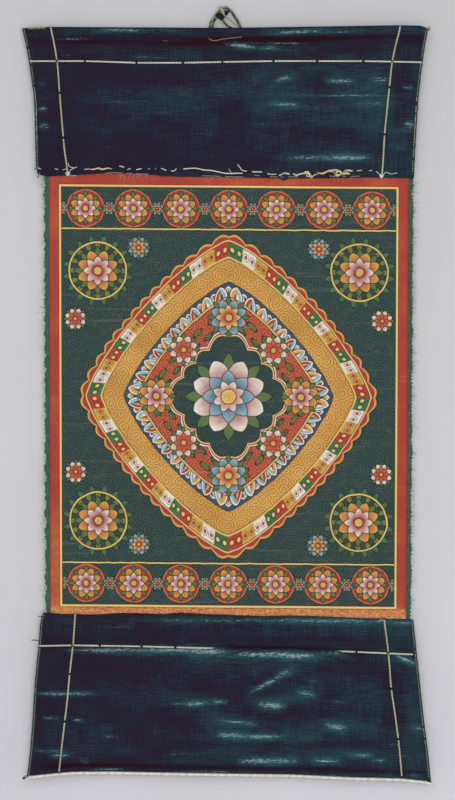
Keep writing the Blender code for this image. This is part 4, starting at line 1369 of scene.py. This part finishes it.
dark_path, cream_path = (np.array(loop_path(table)) / MM for table in (DARK_OUTER, CREAM_OUTER))
inner = dark_path[round(KNOT_AT * (len(dark_path) - 1))]
outer = cream_path[np.argmin(np.linalg.norm(cream_path - inner, axis=1))]
reach = np.linalg.norm(outer - inner) / 2
outwards = (outer - inner) / np.linalg.norm(outer - inner)
along = np.array((outwards[2], 0, -outwards[0]))
middle = (inner + outer) / 2 - outwards * (DARK_RADIUS - CREAM_RADIUS) / 2
wide, deep = reach + (DARK_RADIUS + CREAM_RADIUS) / 2 + KNOT_RADIUS, DARK_RADIUS + KNOT_RADIUS * 0.6
turns = []
for i in np.linspace(0, KNOT_TURNS, 90):
    angle = 2 * math.pi * i
    sideways = outwards * wide * math.cos(angle) + np.array((0, deep * math.sin(angle), 0))
    turns.append((middle + sideways + along * (i - KNOT_TURNS / 2) * KNOT_PITCH) * MM)
wound("loop_tie", [turns], "cord_cream", pale_olive, "loop_knot", KNOT_RADIUS, 2, 4.0, 6)


def bound(start, end, turns, first, last):
    """Turns of yarn round a line in the loop's plane, from one radius to another."""
    (x0, z0), (x1, z1) = start, end
    line = Vector((x1 - x0, 0, z1 - z0))
    side = Vector((-line.z, 0, line.x)).normalized()
    path = []
    for t in np.linspace(0, 1, turns * 14):
        angle, radius = 2 * math.pi * turns * t, first + (last - first) * t
        offset = (side * math.cos(angle) + Vector((0, 1, 0)) * math.sin(angle)) * radius
        path.append((Vector((x0, 0, z0)) + line * t + offset) * MM)
    return path


bindings = [bound((-9.4, -5.6), (-2.4, -11.2), 6, 3.3, 2.6), bound((1.8, -1.4), (0.4, -6.6), 5, 2.7, 0.9)]
wound("loop_binding", bindings, "loop_dark", dark_yarn, None, 0.9, 2, 5.0, 6)

# The stitch takes the darker cord, painted shade for its place under the top fold
stitch = [(x, z, rest_forward(upper_front(x), z, 0.8)) for x, z in curve_points(FRONT_STITCH, 0.8)]
wound("loop_stitch", hang([stitch]), "cord_cream", shaded, "loop_front_stitch", 0.8, 2, 5.0)

# Thread whipped over the rope
over = ROPE_RADIUS + 0.5
whips = []
for x in np.arange(-232, 244, 15.5):
    z, path = line_z("hem", x) - ROPE_RADIUS - 0.1, []
    for t in np.linspace(0, 1, 14):
        angle = math.pi * (1.15 - 1.3 * t)
        path.append((x + 3.4 * (t - 0.5), z + over * math.cos(angle), 0.2 + over * math.sin(angle)))
    whips.append(path)
sewn("rope_whipping", hang(whips), "rope_cream", whip_thread, 0.24, 5)


def strip_edge(edge, sign):
    out = sign * (STRIP_SHOWS - 0.3)
    heights = np.linspace(-205, -722, 40)
    return [(side_x(CANVAS_SIDES, z, edge) + out, z, -1.0, sign, -0.15) for z in heights]


# Frayed threads
strip_hair = whiskers(strip_edge(0, -1), 520, 4.4, 21) + whiskers(strip_edge(1, 1), 520, 4.4, 22)
sewn("strip_fray", hang(strip_hair), "strip_green", green_thread, 0.15, 3)
corner = [(-224.5, -192, 1.9, -1.0, -0.4), (-224.0, -199, 1.8, -0.8, -1.0), (-216.0, -201.5, 1.8, 0.0, -1.0)]
pale = whiskers(corner, 26, 6.0, 23)
for start, end, count, length, seed in (
    ((-138.6, -199.2), (-93.0, -199.4), 26, 3.4, 24),
    ((-24.6, -202.0), (17.4, -202.4), 16, 3.0, 25),
    ((120, -203.4), (150, -203.0), 16, 3.4, 26),
):
    pale += whiskers([(*start, 1.9, 0.2, -1), (*end, 1.9, 0.2, -1)], count, length, seed)
sewn("pale_fray", hang(pale), "cord_cream", white_thread, 0.10, 3)
upper_edge = [(x, line_z("upper seam", x), 1.8, 0.0, -1.0) for x in np.linspace(-223, 225, 60)]
lower_edge = [(x, line_z("lower seam", x), 1.8, 0.0, 1.0) for x in np.linspace(-218, 224, 60)]
dark = whiskers(upper_edge, 150, 3.0, 27) + whiskers(lower_edge, 130, 2.6, 28)
for sides, top, bottom, seed in ((UPPER_SIDES, -30, -200, 29), (LOWER_SIDES, -728, -918, 31)):
    for share, sign in ((0, -1), (1, 1)):
        edge = []
        for z in np.linspace(top, bottom, 30):
            x = side_x(sides, z, share)
            edge.append((x, z, on_cloth(x - sign * 2, z, 0.1) - 0.5, sign, -0.1))
        dark += whiskers(edge, 16, 1.8, seed + share)
sewn("dark_fray", hang(dark), "indigo", tie_thread, 0.10, 3)

# Ends that stick out at the corners: start and end (x, z, forward)
LOOSE_ENDS = (
    ((-223.2, -759.2, 2.2), (-232.6, -757.8, 2.6)), ((-218.6, -732.0, 2.0), (-224.2, -729.0, 2.4)),
    ((-237.2, -920.0, 0.8), (-243.8, -923.6, 0.8)), ((-236.8, -921.6, 0.2), (-242.4, -925.0, 0.4)),
    ((-224.0, -189.0, 1.6), (-229.2, -193.6, 1.8)), ((-222.4, -198.0, 1.6), (-225.8, -203.2, 1.8)),
    ((240.4, -923.4, 0.8), (246.8, -928.6, 1.0)), ((242.6, -926.8, 0.6), (246.2, -929.6, 0.6)),
)  # fmt: skip
END_KNOTS = (-241.6, -923.4, 0.8, 0.9), (243.6, -926.6, 0.9, 1.3), (245.2, -924.6, 0.9, 0.9)
ends = [small_knot(*knot) for knot in END_KNOTS]
bend = np.array((0.4, 0.9, 0.0))
for start, end in np.array(LOOSE_ENDS):
    ends.append([start * (1 - t) + end * t + bend * math.sin(math.pi * t) for t in np.linspace(0, 1, 8)])
sewn("loose_ends", hang(ends), "indigo", tie_thread, 0.55, 5)
tip = [(242.8, -22.8, 0.0, 1.0, 0.5), (244.2, -26.4, 0.0, 1.0, 0.1)]
sewn("tip_fray", hang(whiskers(tip, 46, 3.4, 33, 0.35)), "cord_cream", tan_thread, 0.16, 4)

# Overcast stitches that close the left end of the top fold
overcast = []
for x in np.arange(-235.5, -215.5, 3.0):
    z, path = line_z("top", x), []
    for t in np.linspace(-0.2, 2.6, 12):
        path.append((x + 0.5 * math.sin(t), z - 2.6 + 4.0 * math.sin(t), 0.2 + 2.3 * math.cos(t)))
    overcast.append(path)
sewn("overcast_stitches", hang(overcast), "indigo", yellowed, 0.55, 5)

# Backdrop, light and camera

WALL_Y, FLOOR_Z = 0.014, -1.25
# The camera's distance from the nail's plane, the hanging's from that plane, and the height taken in there
AWAY, BEFORE, HEIGHT = 3.2, 0.008, 0.96


def board(name, corners, material):
    mesh = bpy.data.meshes.new(name)
    mesh.from_pydata(corners, [], [range(4)])
    mesh.materials.append(material)
    obj = link(bpy.data.objects.new(name, mesh))
    return obj


corners = [(-4, WALL_Y, FLOOR_Z), (4, WALL_Y, FLOOR_Z), (4, WALL_Y, 3), (-4, WALL_Y, 3)]
wall = board("wall", corners, wall_paint())
# The light behind reaches the hanging's back, for the views from there.
wall.visible_shadow = wall.visible_diffuse = False
board("floor", [(-4, -6, FLOOR_Z), (4, -6, FLOOR_Z), (4, 4, FLOOR_Z), (-4, 4, FLOOR_Z)], floor_paint())


def lamp(name, power, size, spot, aim):
    light = bpy.data.lights.new(name, "AREA")
    light.shape, light.size, light.energy = "DISK", size, power
    obj = link(bpy.data.objects.new(name, light))
    obj.location = spot
    obj.rotation_euler = (Vector(aim) - Vector(spot)).to_track_quat("-Z", "Y").to_euler()


lamp("key", 28, 2.0, (-0.25, -3.4, 0.4), (0, 0, -0.45))
lamp("fill", 29, 1.2, (0.2, -3.3, -0.62), (0, 0, -0.75))
lamp("back", 34, 1.6, (0.4, 2.4, 0.6), (0, 0, -0.5))
world = bpy.data.worlds.new("studio")
world.use_nodes = True
sky = world.node_tree.nodes["Background"].inputs
sky["Color"].default_value, sky["Strength"].default_value = (0.80, 0.81, 0.84, 1), 0.45
bpy.context.scene.world = world
bpy.context.scene.view_settings.view_transform = "Standard"

camera = link(bpy.data.objects.new("camera", bpy.data.cameras.new("camera")))
camera.location = (0.0024, -AWAY, -0.4697)
camera.rotation_euler = (math.pi / 2, 0, 0)
# The sensor's width is the picture's long side, which is its height.
camera.data.sensor_width, camera.data.lens = 36.0, 36.0 * (AWAY - BEFORE) / HEIGHT
bpy.context.scene.camera = camera
